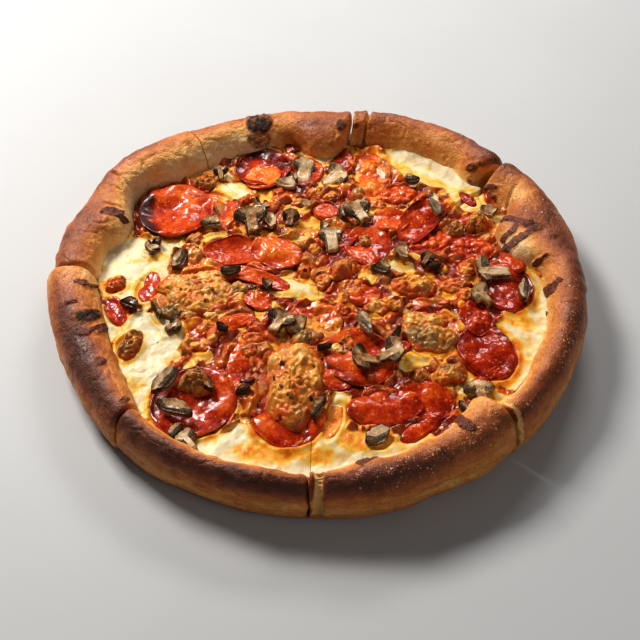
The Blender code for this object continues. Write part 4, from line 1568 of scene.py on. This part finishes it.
@dataclass
class Pepperoni(Topping):
    """The slices of pepperoni."""
    finish: PepperoniFinish
    bed: Bed
    thickness: float = 1.4
    around: int = 92
    rings: int = 24
    kind, piece, rest = "pepperoni", "slice", "pepperoni_scraps"
    placed, loose, seeds = ROUNDS, LOOSE_ROUNDS, (300, 2300, 41)

    def footprint(self, cut: Round, x: float, y: float) -> Footprint:
        """What a slice does to the bed under it."""
        oil = 0.8 * min(1.0, cut.half_width / 12.0)
        return Footprint(x, y, cut.half_length, cut.half_width, cut.turn, 1.0, 0.8, oil)

    def shape(self, cut: Round, x: float, y: float, low: float | None, seed: int) -> Shape:
        """One slice: rings from its middle over its edge to its underside.

        Its height is that of the bed's broad humps, plus the lift, the cup, which grows with the
        square of the radius, the fold, which grows with the square of the distance from its long
        axis, a curl at the edge that comes and goes, and wrinkles. The underside is one thickness
        lower, and the edge is rounded.

        Args:
            cut: Its sizes and looks.
            x: Place of its middle across.
            y: Place of its middle back.
            low: Its node's lowest height, if it has a node.
            seed: Chooses its unevenness.

        Returns:
            The slice with the painted values tone, char and melt.
        """
        lift = cut.lift - 1.2 if low is None else max(low - self.bed.level(x, y) - 1.5, -0.9)
        edge = (0.965, 0.988, 1.0, 1.0, 0.97, 0.6, 0.2)
        reach = np.concatenate([np.linspace(0.04, 0.93, self.rings), edge])[:, None]
        lower = np.concatenate([np.zeros(self.rings), (0.08, 0.22, 0.45, 0.8, 1.0, 1.0, 1.0)])[:, None]
        turn, circle = once_round(self.around)
        wobble = reach * (1.0 + 0.09 * waves(circle, 1.3, seed, 2) + 0.02 * waves(circle, 0.4, seed + 3))
        px, py = turned(x, y, wobble * cut.half_length * np.cos(turn),
                        wobble * cut.half_width * np.sin(turn), cut.turn)
        place = places(px, py) + 40.0 * seed
        small = min(1.0, cut.half_width / 10.0)
        knobs = lumps(place, 4.6, seed + 11)[0]
        wrinkle = (1.9 * small * waves(place, 10.0, seed + 13) + 0.36 * waves(place, 4.2, seed + 17, 2)
                   + 0.06 * waves(place, 1.6, seed + 19) + 2.4 * max(cut.bumps - 0.45, 0.0) * (knobs - 0.35)
                   - 0.15 * (1 - ease(np.abs(waves(place, 8.0, seed + 23, 2)), 0.0, 0.12)))
        curl = 1.3 * cut.curl * ease(reach, 0.66, 1.0) * (0.5 + 0.5 * waves(circle, 0.9, seed + 7))
        raised = 0.6 * cut.cup * reach ** 2 + cut.fold * (reach * np.sin(turn)) ** 2
        raised = raised - 0.8 * ease(reach, 0.72, 1.0)
        height = self.bed.low(px, py) + lift + self.thickness * (1.0 - lower) + raised + curl
        height = height + wrinkle * (1.0 - lower) * (1.0 - 0.6 * ease(reach, 0.9, 1.0))
        side = np.cos(turn - math.radians(cut.char_side - cut.turn)) + 0.35 * waves(place, 7.0, seed + 29, 2)
        tone = (cut.tone + 0.10 * waves(place, 10.0, seed + 31, 2) + 0.11 * wrinkle
                - 0.12 * ease(reach, 0.80, 0.94) + 0.20 * ease(reach, 0.95, 0.99))
        return ringed(places(px, py, height), {
            "tone": tone, "char": cut.char * ease(side, 0.35, 0.95) * ease(reach, 0.35, 0.9),
            "melt": cut.melt + 0.35 * waves(place, 8.0, seed + 37, 2) * ease(cut.melt, 0.0, 0.2)})


@dataclass(frozen=True)
class Lump:
    """A lump of sausage: half sizes, height, turn and looks; its place where no node gives it.

    Tone is how light it is, stain how red with sauce, char how burnt and olive how grey green.
    """
    half_length: float
    half_width: float
    height: float
    turn: float
    tone: float
    stain: float
    char: float
    x: float = 0.0
    y: float = 0.0
    olive: float = 0.35


LUMPS = tuple(Lump(*row) for row in (
    (8.5, 8.5, 8, 70, 0.36, 0.1, 0.1), (6.5, 6, 8, 0, 0.34, 0.55, 0.25), (8.5, 7, 9, 80, 0.38, 0.15, 0.2),
    (22, 16, 10, 5, 0.62, 0.3, 0.25), (25, 19, 10, 95, 0.58, 0.32, 0.35), (8.5, 8, 9, 20, 0.48, 0.15, 0.2),
    (8, 6.5, 9, 75, 0.52, 0.3, 0.1), (17.5, 15.5, 9.5, 40, 0.5, 0.2, 0.12, 0, 0, 0.6),
    (12.5, 10, 9, 0, 0.58, 0.48, 0.15), (7, 6, 8, 30, 0.42, 0.15, 0.05), (9, 6.5, 9, 70, 0.46, 0.2, 0.05),
    (8, 7, 8, 10, 0.5, 0.55, 0.15),
))
LOOSE_LUMPS = tuple(Lump(*row) for row in (
    (6.5, 5, 6, 60, 0.42, 0.15, 0.1, -75, 33), (9, 7, 8, 10, 0.7, 0.35, 0.1, -66, 1),
    (6, 5, 7, 80, 0.4, 0.15, 0.3, 54, -70), (5, 4.2, 6, 90, 0.44, 0.25, 0.2, 27, 30),
    (7.5, 6.5, 10, 10, 0.5, 0.05, 0.2, -12, -95, 0.95), (5.5, 4.6, 8, 80, 0.22, 0.6, 0.5, -27, -58),
    (5.5, 4.6, 7, 30, 0.36, 0.7, 0.1, -46, 65), (6, 4.5, 6, 0, 0.5, 0.55, 0.1, -30, 60),
    (7, 5.5, 6, 30, 0.52, 0.6, 0.1, -21, 66), (6, 5, 6, 0, 0.56, 0.55, 0.1, -9, 63),
    (5, 4, 5, 60, 0.44, 0.5, 0.2, -25, 74), (5, 4.5, 5, 0, 0.6, 0.4, 0.1, -3, 73),
    (5, 4, 5, 20, 0.58, 0.45, 0.1, 8, 71), (6, 4, 5, 20, 0.52, 0.5, 0.1, -40, 54),
    (5, 4, 6, 90, 0.52, 0.25, 0.1, -3, 24), (6, 5, 6, 40, 0.52, 0.6, 0.2, 20, -8),
    (7, 5, 6, -20, 0.6, 0.6, 0.1, 32, -22), (5, 5, 6, 0, 0.46, 0.2, 0.1, 44, -20),
    (6, 5, 5, 0, 0.62, 0.55, 0.1, 12, -24), (6, 9, 6, 5, 0.56, 0.55, 0.2, 14, -48),
    (7, 5, 6, 20, 0.56, 0.6, 0.1, 76, -4), (6, 5, 6, 60, 0.54, 0.6, 0.1, 84, -10),
    (7, 6, 6, 0, 0.62, 0.5, 0.1, 86, 10), (6, 5, 6, 0, 0.52, 0.65, 0.2, 66, 12),
    (6, 5, 6, 30, 0.5, 0.65, 0.3, 2, -4), (5, 4, 6, 80, 0.48, 0.65, 0.3, -8, 6),
    (2.6, 2.2, 4, 0, 0.86, 0.0, 0.0, -10, 9), (6, 4, 5, -30, 0.62, 0.6, 0.1, -58, -18),
    (6, 4, 5, 20, 0.66, 0.55, 0.1, -46, -14), (6, 5, 5, 0, 0.6, 0.65, 0.2, -36, -44),
    (7, 4, 5, 60, 0.58, 0.65, 0.1, -58, -42), (6, 4, 5, -20, 0.64, 0.6, 0.1, -66, -50),
    (5, 4, 6, 20, 0.4, 0.6, 0.4, -38, -54), (7, 5, 5, 40, 0.5, 0.7, 0.1, -44, -80),
    (9, 7, 7, 20, 0.52, 0.05, 0.1, -7, -44, 0.95), (7, 6, 8, 0, 0.56, 0.05, 0.1, -47, -9, 0.8),
    (7, 6, 8, 20, 0.5, 0.05, 0.1, -84, -24, 0.85), (5, 4.5, 9, 30, 0.24, 0.6, 0.6, -18, -74),
    (6, 5, 5, 20, 0.6, 0.55, 0.1, 100, 36), (7, 5, 6, 40, 0.5, 0.6, 0.1, 76, 60),
    (6, 4, 5, 0, 0.55, 0.6, 0.1, 36, 62), (5, 4, 5, 0, 0.62, 0.55, 0.1, 24, 74),
    (4, 3, 4, 0, 0.85, 0.0, 0.1, 9, -51), (4, 3.2, 4, 30, 0.62, 0.3, 0.1, -66, 42),
    (6, 3.4, 4, 10, 0.6, 0.3, 0.2, -74, -27), (4, 3, 4, 0, 0.8, 0.1, 0.0, -62, -27),
    (4, 3, 5, 0, 0.34, 0.3, 0.4, -53, 2), (4.5, 3.5, 5, 0, 0.44, 0.2, 0.2, -57, -8),
))


@dataclass
class Sausage(Topping):
    """The lumps of browned sausage."""
    finish: SausageFinish
    bed: Bed
    large: float = 8.5
    kind, piece, rest = "sausage", "lump", "sausage_crumbles"
    placed, loose, seeds = LUMPS, LOOSE_LUMPS, (4100, 5100, 29)

    def footprint(self, lump: Lump, x: float, y: float) -> Footprint:
        """What a lump does to the bed round it."""
        return Footprint(x, y, lump.half_length, lump.half_width, lump.turn, 0.0, 0.9, 0.55)

    def shape(self, lump: Lump, x: float, y: float, low: float | None, seed: int) -> Shape:
        """One lump: a mound that grows out of the bed, with a flat underside.

        Its outline is an oval bent by waves. Its height over the bed's broad level falls off as
        (1 - reach squared) to the power of 0.62, and carries round knobs of two sizes and waves.
        Its edge dips into the bed. A large lump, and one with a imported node, has finer rings.

        Args:
            lump: Its sizes and looks.
            x: Place of its middle across.
            y: Place of its middle back.
            low: Its node's lowest height, if it has a node.
            seed: Chooses its unevenness.

        Returns:
            The lump with the painted values tone, stain, olive and char.
        """
        fine = low is not None or lump.half_length > self.large
        rings, around = (46, 128) if fine else (18, 48)
        peak = 0.60 * lump.height if low is None else low + 0.68 * lump.height - self.bed.low(x, y)
        slope = np.sin(np.linspace(0.05, math.pi / 2, rings)) * 1.06
        reach = np.concatenate([slope, (1.06, 0.7, 0.3)])[:, None]
        turn, circle = once_round(around)
        wobble = reach * (1.0 + 0.34 * waves(circle, 2.2, seed) + 0.24 * waves(circle, 0.9, seed + 3, 2))
        px, py = turned(x, y, wobble * lump.half_length * np.cos(turn),
                        wobble * lump.half_width * np.sin(turn), lump.turn)
        dome = np.clip(1.0 - reach ** 2, 0.0, 1.0) ** 0.62
        place = places(px, py, 1.3 * peak * dome) + 60.0 * seed
        bent = place + 1.6 * waves(place, 4.0, seed + 5, 2)[..., None]
        big = lumps(bent, 8.0 if fine else 5.0, seed + 11)[0]
        small = lumps(bent, 3.0 if fine else 2.4, seed + 13)[0]
        knobs = min(1.0, lump.half_width / 9.0) * (
            2.6 * (big - 0.5) + 2.0 * (small - 0.5) + 1.8 * waves(place, 9.0, seed + 15)
            + 0.8 * waves(place, 2.4, seed + 17, 2))
        ground = self.bed.low(px, py)
        height = ground + 0.6 + peak * dome + knobs * (0.25 + 0.75 * dome) - 2.2 * ease(reach, 0.97, 1.06)
        height[rings:] = ground[rings:] - 2.4
        # Darker in the crevices between the knobs: painted shade; lighter towards the top of the mound.
        tone = lump.tone + (0.02 if fine else -0.05) + 0.14 * dome + 0.07 * knobs
        spots = ease(waves(place, 4.0, seed + 23, 2), 0.42, 0.60)
        return ringed(places(px, py, height), {
            "tone": tone + 0.12 * waves(place, 10.0, seed + 19),
            "stain": (lump.stain + 0.05 + 0.75 * waves(place, 7.0, seed + 21, 2)
                      + 0.45 * ease(reach, 0.72, 1.0)),
            "olive": lump.olive + 0.65 * waves(place, 9.0, seed + 25, 2),
            "char": lump.char * (0.15 + 1.6 * spots)})


@dataclass(frozen=True)
class Cap:
    """A slice of mushroom: its cap and stem, where its rounded side points, tilt, curl and looks.

    A slice with no stem is a half moon. Tilt raises the rounded side, in degrees, and curl bends
    its two ends up. Its place and its height over the bed count only where no node gives them.
    """
    width: float
    height: float
    stem_width: float
    stem_length: float
    turn: float
    tilt: float
    curl: float
    tone: float
    gill: float
    x: float = 0.0
    y: float = 0.0
    lift: float = 1.5


CAPS = tuple(Cap(*row) for row in (
    (14, 10, 9, 9, 80, 18, 1.8, 0.62, 0.5), (18, 11, 9, 6, 30, 14, 1.2, 0.6, 0.5),
    (20, 12, 8, 6, 100, 16, 2.0, 0.46, 1.0), (18, 12, 8, 5, 120, 14, 2.0, 0.56, 0.8),
    (15, 9, 8, 8, 100, 10, 1.2, 0.64, 0.7), (21, 8, 0, 0, 165, 16, 1.0, 0.48, 0.7),
    (17, 10, 7, 5, 60, 14, 1.5, 0.44, 0.9), (23, 8.5, 0, 0, 150, 16, 1.2, 0.58, 0.8),
    (21, 8.5, 0, 0, 68, 18, 1.0, 0.52, 1.0), (18, 11, 7, 6, 190, 18, 2.0, 0.44, 1.0),
    (17, 11, 6, 5, 20, 16, 2.0, 0.5, 0.9), (20, 10, 0, 0, 35, 18, 1.4, 0.56, 0.5),
    (21, 9.5, 0, 0, 15, 12, 1.0, 0.6, 0.9), (21, 9, 7, 11, 185, 8, 1.2, 0.66, 0.8),
    (17, 10, 0, 0, 120, 14, 1.5, 0.74, 1.0), (17, 10, 6, 5, 100, 10, 1.5, 0.52, 0.5),
))
LOOSE_CAPS = tuple(Cap(*row) for row in (
    (9, 6, 0, 0, 20, 20, 1.0, 0.4, 1.0, -17, 83), (9, 6, 4, 4, 100, 20, 1.0, 0.34, 1.0, -62, 91),
    (18, 8, 0, 0, 95, 10, 1.2, 0.5, 0.5, -62, 43), (13, 8, 0, 0, 60, 18, 1.2, 0.3, 1.2, -109, -20),
    (16, 4.5, 0, 0, 35, 20, 0.8, 0.34, 1.0, -90, -29), (9, 7, 4, 3, 30, 14, 1.0, 0.44, 1.1, -81, -36),
    (10, 4, 0, 0, 65, 20, 0.5, 0.22, 1.3, -55, -40), (15, 12, 0, 0, 80, 12, 1.5, 0.5, 0.3, -12, -39),
    (9, 7, 0, 0, 200, 20, 1.0, 0.4, 0.8, -58, -78), (14, 6, 0, 0, 150, 16, 0.6, 0.46, 0.6, 0, -95),
    (12, 8, 4, 4, 130, 10, 1.0, 0.72, 1.0, -69, -110, 0.8),
    (13, 9, 0, 0, 60, 22, 0.4, 0.44, 0.9, 35, 5, 2.2), (10, 8, 0, 0, 100, 12, 1.5, 0.48, 1.3, 58, 82),
    (14, 9, 5, 5, 140, 16, 1.2, 0.5, 0.4, 92, -14), (18, 8, 0, 0, 170, 12, 1.0, 0.7, 0.9, 119, -9, 1.0),
    (9, 6, 4, 3, 60, 16, 1.0, 0.28, 1.3, 63, 13, 2.0), (8, 5, 0, 0, 120, 16, 1.0, 0.22, 1.3, 68, 8, 1.8),
    (13, 10, 0, 0, 50, 14, 1.2, 0.46, 0.4, 49, 16, 1.8), (12, 8, 0, 0, 110, 14, 1.0, 0.4, 0.8, -51, 2, 3.0),
    (8, 4, 0, 0, 100, 16, 0.6, 0.22, 1.2, 3, -53, 2.0), (9, 6, 4, 3, 200, 12, 0.8, 0.62, 0.9, -99, 25, 0.5),
    (11, 7, 5, 4, 80, 16, 1.0, 0.34, 1.2, -17, 47, 1.8),
    (16, 8, 0, 0, 70, 10, 1.4, 0.66, 0.3, -22, 79, 1.2), (12, 8, 0, 0, 30, 10, 1.2, 0.6, 0.2, -30, 43, 1.4),
    (9, 5, 0, 0, 150, 16, 0.8, 0.3, 1.2, 43, -44, 2.0), (9, 5, 0, 0, 110, 16, 0.6, 0.3, 1.2, -40, -83, 2.2),
    (8, 5, 0, 0, 20, 16, 0.6, 0.3, 1.2, 13, 49, 2.4), (10, 6, 4, 4, 200, 14, 1.0, 0.48, 0.8, -36, 57, 1.8),
    (12, 7, 0, 0, 60, 14, 1.2, 0.5, 0.4, 104, 55, 1.4), (10, 6, 0, 0, 30, 10, 0.8, 0.38, 0.7, -30, -8, 1.6),
    (9, 6, 0, 0, 140, 10, 0.8, 0.62, 0.7, -74, -106, 0.6),
    (11, 4, 0, 0, 30, 18, 0.5, 0.32, 0.8, 76, -92, 1.2), (7, 5, 0, 0, 70, 10, 0.6, 0.36, 1.2, -97, 29, 0.3),
    (8, 6, 0, 0, 15, 10, 0.6, 0.58, 0.6, 2, 40, 2.0),
))


@dataclass
class Mushroom(Topping):
    """The slices of mushroom."""
    finish: MushroomFinish
    bed: Bed
    thickness: float = 4.2
    around: int = 64
    kind, piece, rest = "mushroom", "slice", "mushroom_pieces"
    placed, loose, seeds = CAPS, LOOSE_CAPS, (6100, 7100, 37)

    def footprint(self, cap: Cap, x: float, y: float) -> Footprint:
        """What a slice does to the bed under it."""
        half_length = 0.5 * (cap.height + cap.stem_length)
        return Footprint(x, y, half_length, 0.42 * cap.width, cap.turn, 0.5, 0.6, 0.35)

    @staticmethod
    def outline(cap: Cap, turn: Array) -> Array:
        """Distance from the slice's middle to its outline in each direction.

        The cap is a half ellipse over a shallower one, and the stem is a bar that ends round. The
        larger of the two counts, joined softly by the eighth-power mean.

        Args:
            cap: The slice's sizes.
            turn: Directions, with the rounded side at 0.

        Returns:
            The distances.
        """
        dome, side = 0.62 * cap.height, 0.5 * cap.width
        depth = np.where(np.cos(turn) > 0, dome, 0.40 * dome)
        head = 1.0 / np.sqrt((np.cos(turn) / depth) ** 2 + (np.sin(turn) / side) ** 2)
        if not cap.stem_length:
            return head
        half, foot = 0.5 * cap.stem_width, cap.stem_length + 0.3 * cap.height
        down = np.maximum(-np.cos(turn), 0.02)
        bar = np.minimum(half / np.maximum(np.abs(np.sin(turn)), 0.02), foot / down)
        bar = np.where(np.cos(turn) < 0, bar, 0.1)
        return (head ** 8 + bar ** 8) ** 0.125

    def shape(self, cap: Cap, x: float, y: float, low: float | None, seed: int) -> Shape:
        """One slice: rings from the middle of its upper face over its edge to its lower face.

        Both faces are bent by the curl, which grows with the square of the distance across, and
        tilted. The upper face sags a little inside its edge, and more where its gills are. A half
        moon is cut straight on one side.

        Args:
            cap: Its sizes and looks.
            x: Place of its middle across.
            y: Place of its middle back.
            low: Its node's lowest height, if it has a node.
            seed: Chooses its unevenness.

        Returns:
            The slice with the painted values tone, gill, skin and lane.
        """
        base = self.bed.low(x, y) + cap.lift if low is None else low - 0.9
        inside = np.linspace(0.08, 0.90, 11)
        reach = np.concatenate([inside, (0.955, 0.99, 1.0, 1.0, 0.985, 0.94, 0.5, 0.15)])[:, None]
        depth = np.concatenate([0 * inside, (0.05, 0.18, 0.36, 0.64, 0.85, 1.0, 1.0, 1.0)])[:, None]
        turn, circle = once_round(self.around)
        wobble = 1.0 + 0.20 * waves(circle, 1.2, seed, 2) + 0.07 * waves(circle, 0.4, seed + 3, 2)
        edge, beside = self.outline(cap, turn) * wobble, 1.0
        if not cap.stem_length:
            chop = math.tau * float(VALUES[seed % 500])
            flat = 0.32 * cap.height / np.maximum(np.cos(turn - chop), 0.05)
            edge = (edge ** -6.0 + flat ** -6.0) ** (-1.0 / 6.0)
        along, across = edge * reach * np.cos(turn), edge * reach * np.sin(turn)
        if cap.stem_length:
            beside = ease(np.abs(across), 0.28 * cap.stem_width, 0.50 * cap.stem_width)
        px, py = turned(x, y, along, across, cap.turn)
        place = places(px, py) + 50.0 * seed
        bend = cap.curl * (2.0 * across / cap.width) ** 2 + math.tan(math.radians(cap.tilt)) * along
        bend = bend + 1.5 * waves(place, 9.0, seed + 5)
        relief = 0.50 * waves(place, 3.2, seed + 7, 2) + 0.5 * waves(place, 6.0, seed + 9)
        relief = relief - 0.9 * (1 - reach ** 2)
        sunk = 1.1 * ease(-along / cap.height, -0.02, 0.12) * beside
        height = base + 0.4 + bend + (self.thickness + relief - sunk) * (1.0 - depth)
        dome = ease(np.cos(turn), -0.35, 0.25)
        skin = np.maximum(0.8 * ease(reach, 0.82, 0.97) * dome, ease(depth, 0.1, 0.4) * (0.35 + 0.65 * dome))
        uneven = waves(place, 5.0, seed + 11, 2)
        gill = 1.15 * ease(-along / cap.height + 0.16 * uneven, -0.30, -0.12) * beside
        gill = cap.gill * (gill + 0.35 * ease(uneven, 0.3, 0.6)) * (1 - depth)
        tone = cap.tone + 0.16 - 0.30 * ease(reach, 0.60, 0.95) + 0.16 * waves(place, 6.0, seed + 13, 2)
        return ringed(places(px, py, height), {
            "tone": tone + 0.2 * relief, "gill": gill, "skin": skin,
            "lane": 0.5 + across / self.finish.lane_span})


@dataclass
class Scatter:
    """What is too small to be placed one by one: crumbs of meat, herbs and pepper."""
    bed: Bed
    meat: SausageFinish
    specks: SpeckFinish
    crumbs: int = 130
    flecks: int = 150
    seed: int = 5
    radius: float = 116.0

    @staticmethod
    def ball(rings: int, around: int) -> Array:
        """Directions on a ball, ring by ring, of shape (rings, around, 3)."""
        polar = np.linspace(0.18, math.pi - 0.18, rings)[:, None]
        turn, _ = once_round(around)
        return places(np.sin(polar) * np.cos(turn), np.sin(polar) * np.sin(turn), np.cos(polar))

    def spots(self, count: int, draw: np.random.Generator, on_cheese: float) -> tuple[Array, Array]:
        """Random places inside the rim, fewer of them where cheese shows.

        Args:
            count: How many.
            draw: The source of random numbers.
            on_cheese: Share that is kept where only cheese shows.

        Returns:
            The places across and back.
        """
        angle = draw.random(count * 6) * math.tau
        radius = self.radius * np.sqrt(draw.random(count * 6))
        x, y = radius * np.cos(angle), radius * np.sin(angle)
        chance = 1.0 - (1.0 - on_cheese) * ease(self.bed.cheese(x, y), 0.2, 0.6)
        kept = np.flatnonzero(draw.random(count * 6) < chance)[:count]
        return x[kept], y[kept]

    @staticmethod
    def many(middles: Array, sizes: Array, ball: Array, rough: float, draw: np.random.Generator,
             paint: dict[str, Array]) -> Shape:
        """Many small balls, each stretched, turned and knobbly in its own way.

        Args:
            middles: Their middles.
            sizes: Their half sizes.
            ball: Directions of one ball.
            rough: How far waves push the surface, as a share of the size.
            draw: The source of random numbers.
            paint: Values, one for each ball.

        Returns:
            All of them as one shape.
        """
        shapes = []
        turns = draw.random(len(middles)) * 360.0
        for i, ((x, y, z), size) in enumerate(zip(middles, sizes)):
            push = 1.0 + rough * waves(ball * 1.6 + 9.0 * i, 1.0, 8100 + i % 7, 2)
            grown = ball * push[..., None] * size
            px, py = turned(x, y, grown[..., 0], grown[..., 1], turns[i])
            values = {name: value[i] for name, value in paint.items()}
            shapes.append(ringed(places(px, py, z + grown[..., 2]), values))
        return joined(shapes)

    def build(self) -> None:
        """Makes the crumbs and the flecks, one piece of each."""
        draw = np.random.default_rng(self.seed)
        x, y = self.spots(self.crumbs, draw, 0.02)
        width = 0.8 + 1.5 * draw.random(len(x)) ** 1.8
        sizes = places(width * (1.0 + 1.3 * draw.random(len(x))), width, 0.5 * width)
        middles = places(x, y, self.bed.surface(x, y)[0])
        paint = {"tone": 0.24 + 0.46 * draw.random(len(x)), "stain": 0.25 + 0.75 * draw.random(len(x)),
                 "char": 0.55 * (draw.random(len(x)) > 0.9), "olive": 0.6 * draw.random(len(x))}
        crumb = self.many(middles, sizes, self.ball(8, 12), 0.8, draw, paint)
        place_piece("meat_crumbs", crumb, self.meat.material())
        x, y = self.spots(self.flecks, draw, 0.06)
        width = 0.28 + 0.45 * draw.random(len(x)) ** 2
        middles = places(x, y, self.bed.surface(x, y)[0] + 0.15)
        fleck = self.many(middles, places(width * 1.5, width, 0.6 * width), self.ball(4, 7), 0.3, draw,
                          {"tone": draw.random(len(x))})
        place_piece("herb_flecks", fleck, self.specks.material())
        log.info("scatter: %d crumbs and %d flecks", self.crumbs, self.flecks)


# ---------------------------------------------------------------- studio

@dataclass(frozen=True)
class Lamp:
    """A soft box: its place and size in metres, its power in watts and its colour."""
    name: str
    place: Triple
    size: tuple[float, float]
    power: float
    colour: Triple = (1.0, 1.0, 1.0)


@dataclass
class Studio:
    """The floor, the lights and the camera, in metres."""
    floor: FloorFinish
    aim: Triple = (0.0015, -0.008, 0.0)
    distance: float = 0.7
    elevation: float = 49.4
    lens: float = 66.7
    sky: float = 0.085
    floor_reach: float = 2.0
    floor_drop: float = 0.0002
    lamps: tuple[Lamp, ...] = (
        Lamp("key", (-0.62, 0.66, 0.90), (0.42, 0.34), 18.5, (1.0, 0.985, 0.96)),
        Lamp("back", (0.20, 1.0, 0.80), (0.5, 0.2), 6.0),
        Lamp("fill", (0.7, -0.8, 0.8), (0.9, 0.9), 2.2, (0.98, 0.99, 1.0)),
    )

    @staticmethod
    def add(name: str, data: bpy.types.ID) -> bpy.types.Object:
        """Puts a mesh, a light or a camera into the scene."""
        holder = bpy.data.objects.new(name, data)
        bpy.context.scene.collection.objects.link(holder)
        return holder

    def build(self) -> None:
        """Makes the floor, the lamps, the sky and the camera."""
        reach = self.floor_reach
        corners = [(x * reach, y * reach, -self.floor_drop) for x, y in ((-1, -1), (1, -1), (1, 1), (-1, 1))]
        mesh = bpy.data.meshes.new("floor")
        mesh.from_pydata(corners, [], [(0, 1, 2, 3)])
        mesh.materials.append(self.floor.material())
        floor = self.add("floor", mesh)
        for lamp in self.lamps:
            light = bpy.data.lights.new(lamp.name, "AREA")
            light.shape = "RECTANGLE"
            light.size, light.size_y = lamp.size
            light.energy, light.color = lamp.power, lamp.colour
            holder = self.add(lamp.name, light)
            holder.location = lamp.place
            holder.rotation_euler = (-Vector(lamp.place)).to_track_quat("-Z", "Y").to_euler()
        scene = bpy.context.scene
        scene.world = bpy.data.worlds.new("studio")
        scene.world.use_nodes = True
        sky = scene.world.node_tree.nodes["Background"].inputs
        sky["Color"].default_value = (1.0, 1.0, 1.0, 1.0)
        sky["Strength"].default_value = self.sky
        scene.view_settings.view_transform = "Standard"
        scene.view_settings.look = "Medium High Contrast"
        back = math.radians(self.elevation)
        view = bpy.data.cameras.new("camera")
        view.lens = self.lens
        towards = Vector((0.0, -math.cos(back), math.sin(back)))
        scene.camera = self.add("camera", view)
        scene.camera.location = Vector(self.aim) + self.distance * towards
        scene.camera.rotation_euler = towards.to_track_quat("Z", "Y").to_euler()


def main() -> None:
    """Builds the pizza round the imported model, piece by piece."""
    logging.basicConfig(level=logging.INFO, format="%(message)s")
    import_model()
    Effects()
    bed = Bed()
    toppings = (Pepperoni(PepperoniFinish(), bed), Sausage(SausageFinish(), bed),
                Mushroom(MushroomFinish(), bed))
    for topping in toppings:
        topping.leave_footprints()
    crust = Crust(CrustFinish())
    for part in (crust, Filling(FillingFinish(), crust, bed), *toppings):
        part.build()
    Scatter(bed, SausageFinish(), SpeckFinish()).build()
    Studio(FloorFinish()).build()


if __name__ == "__main__":
    main()
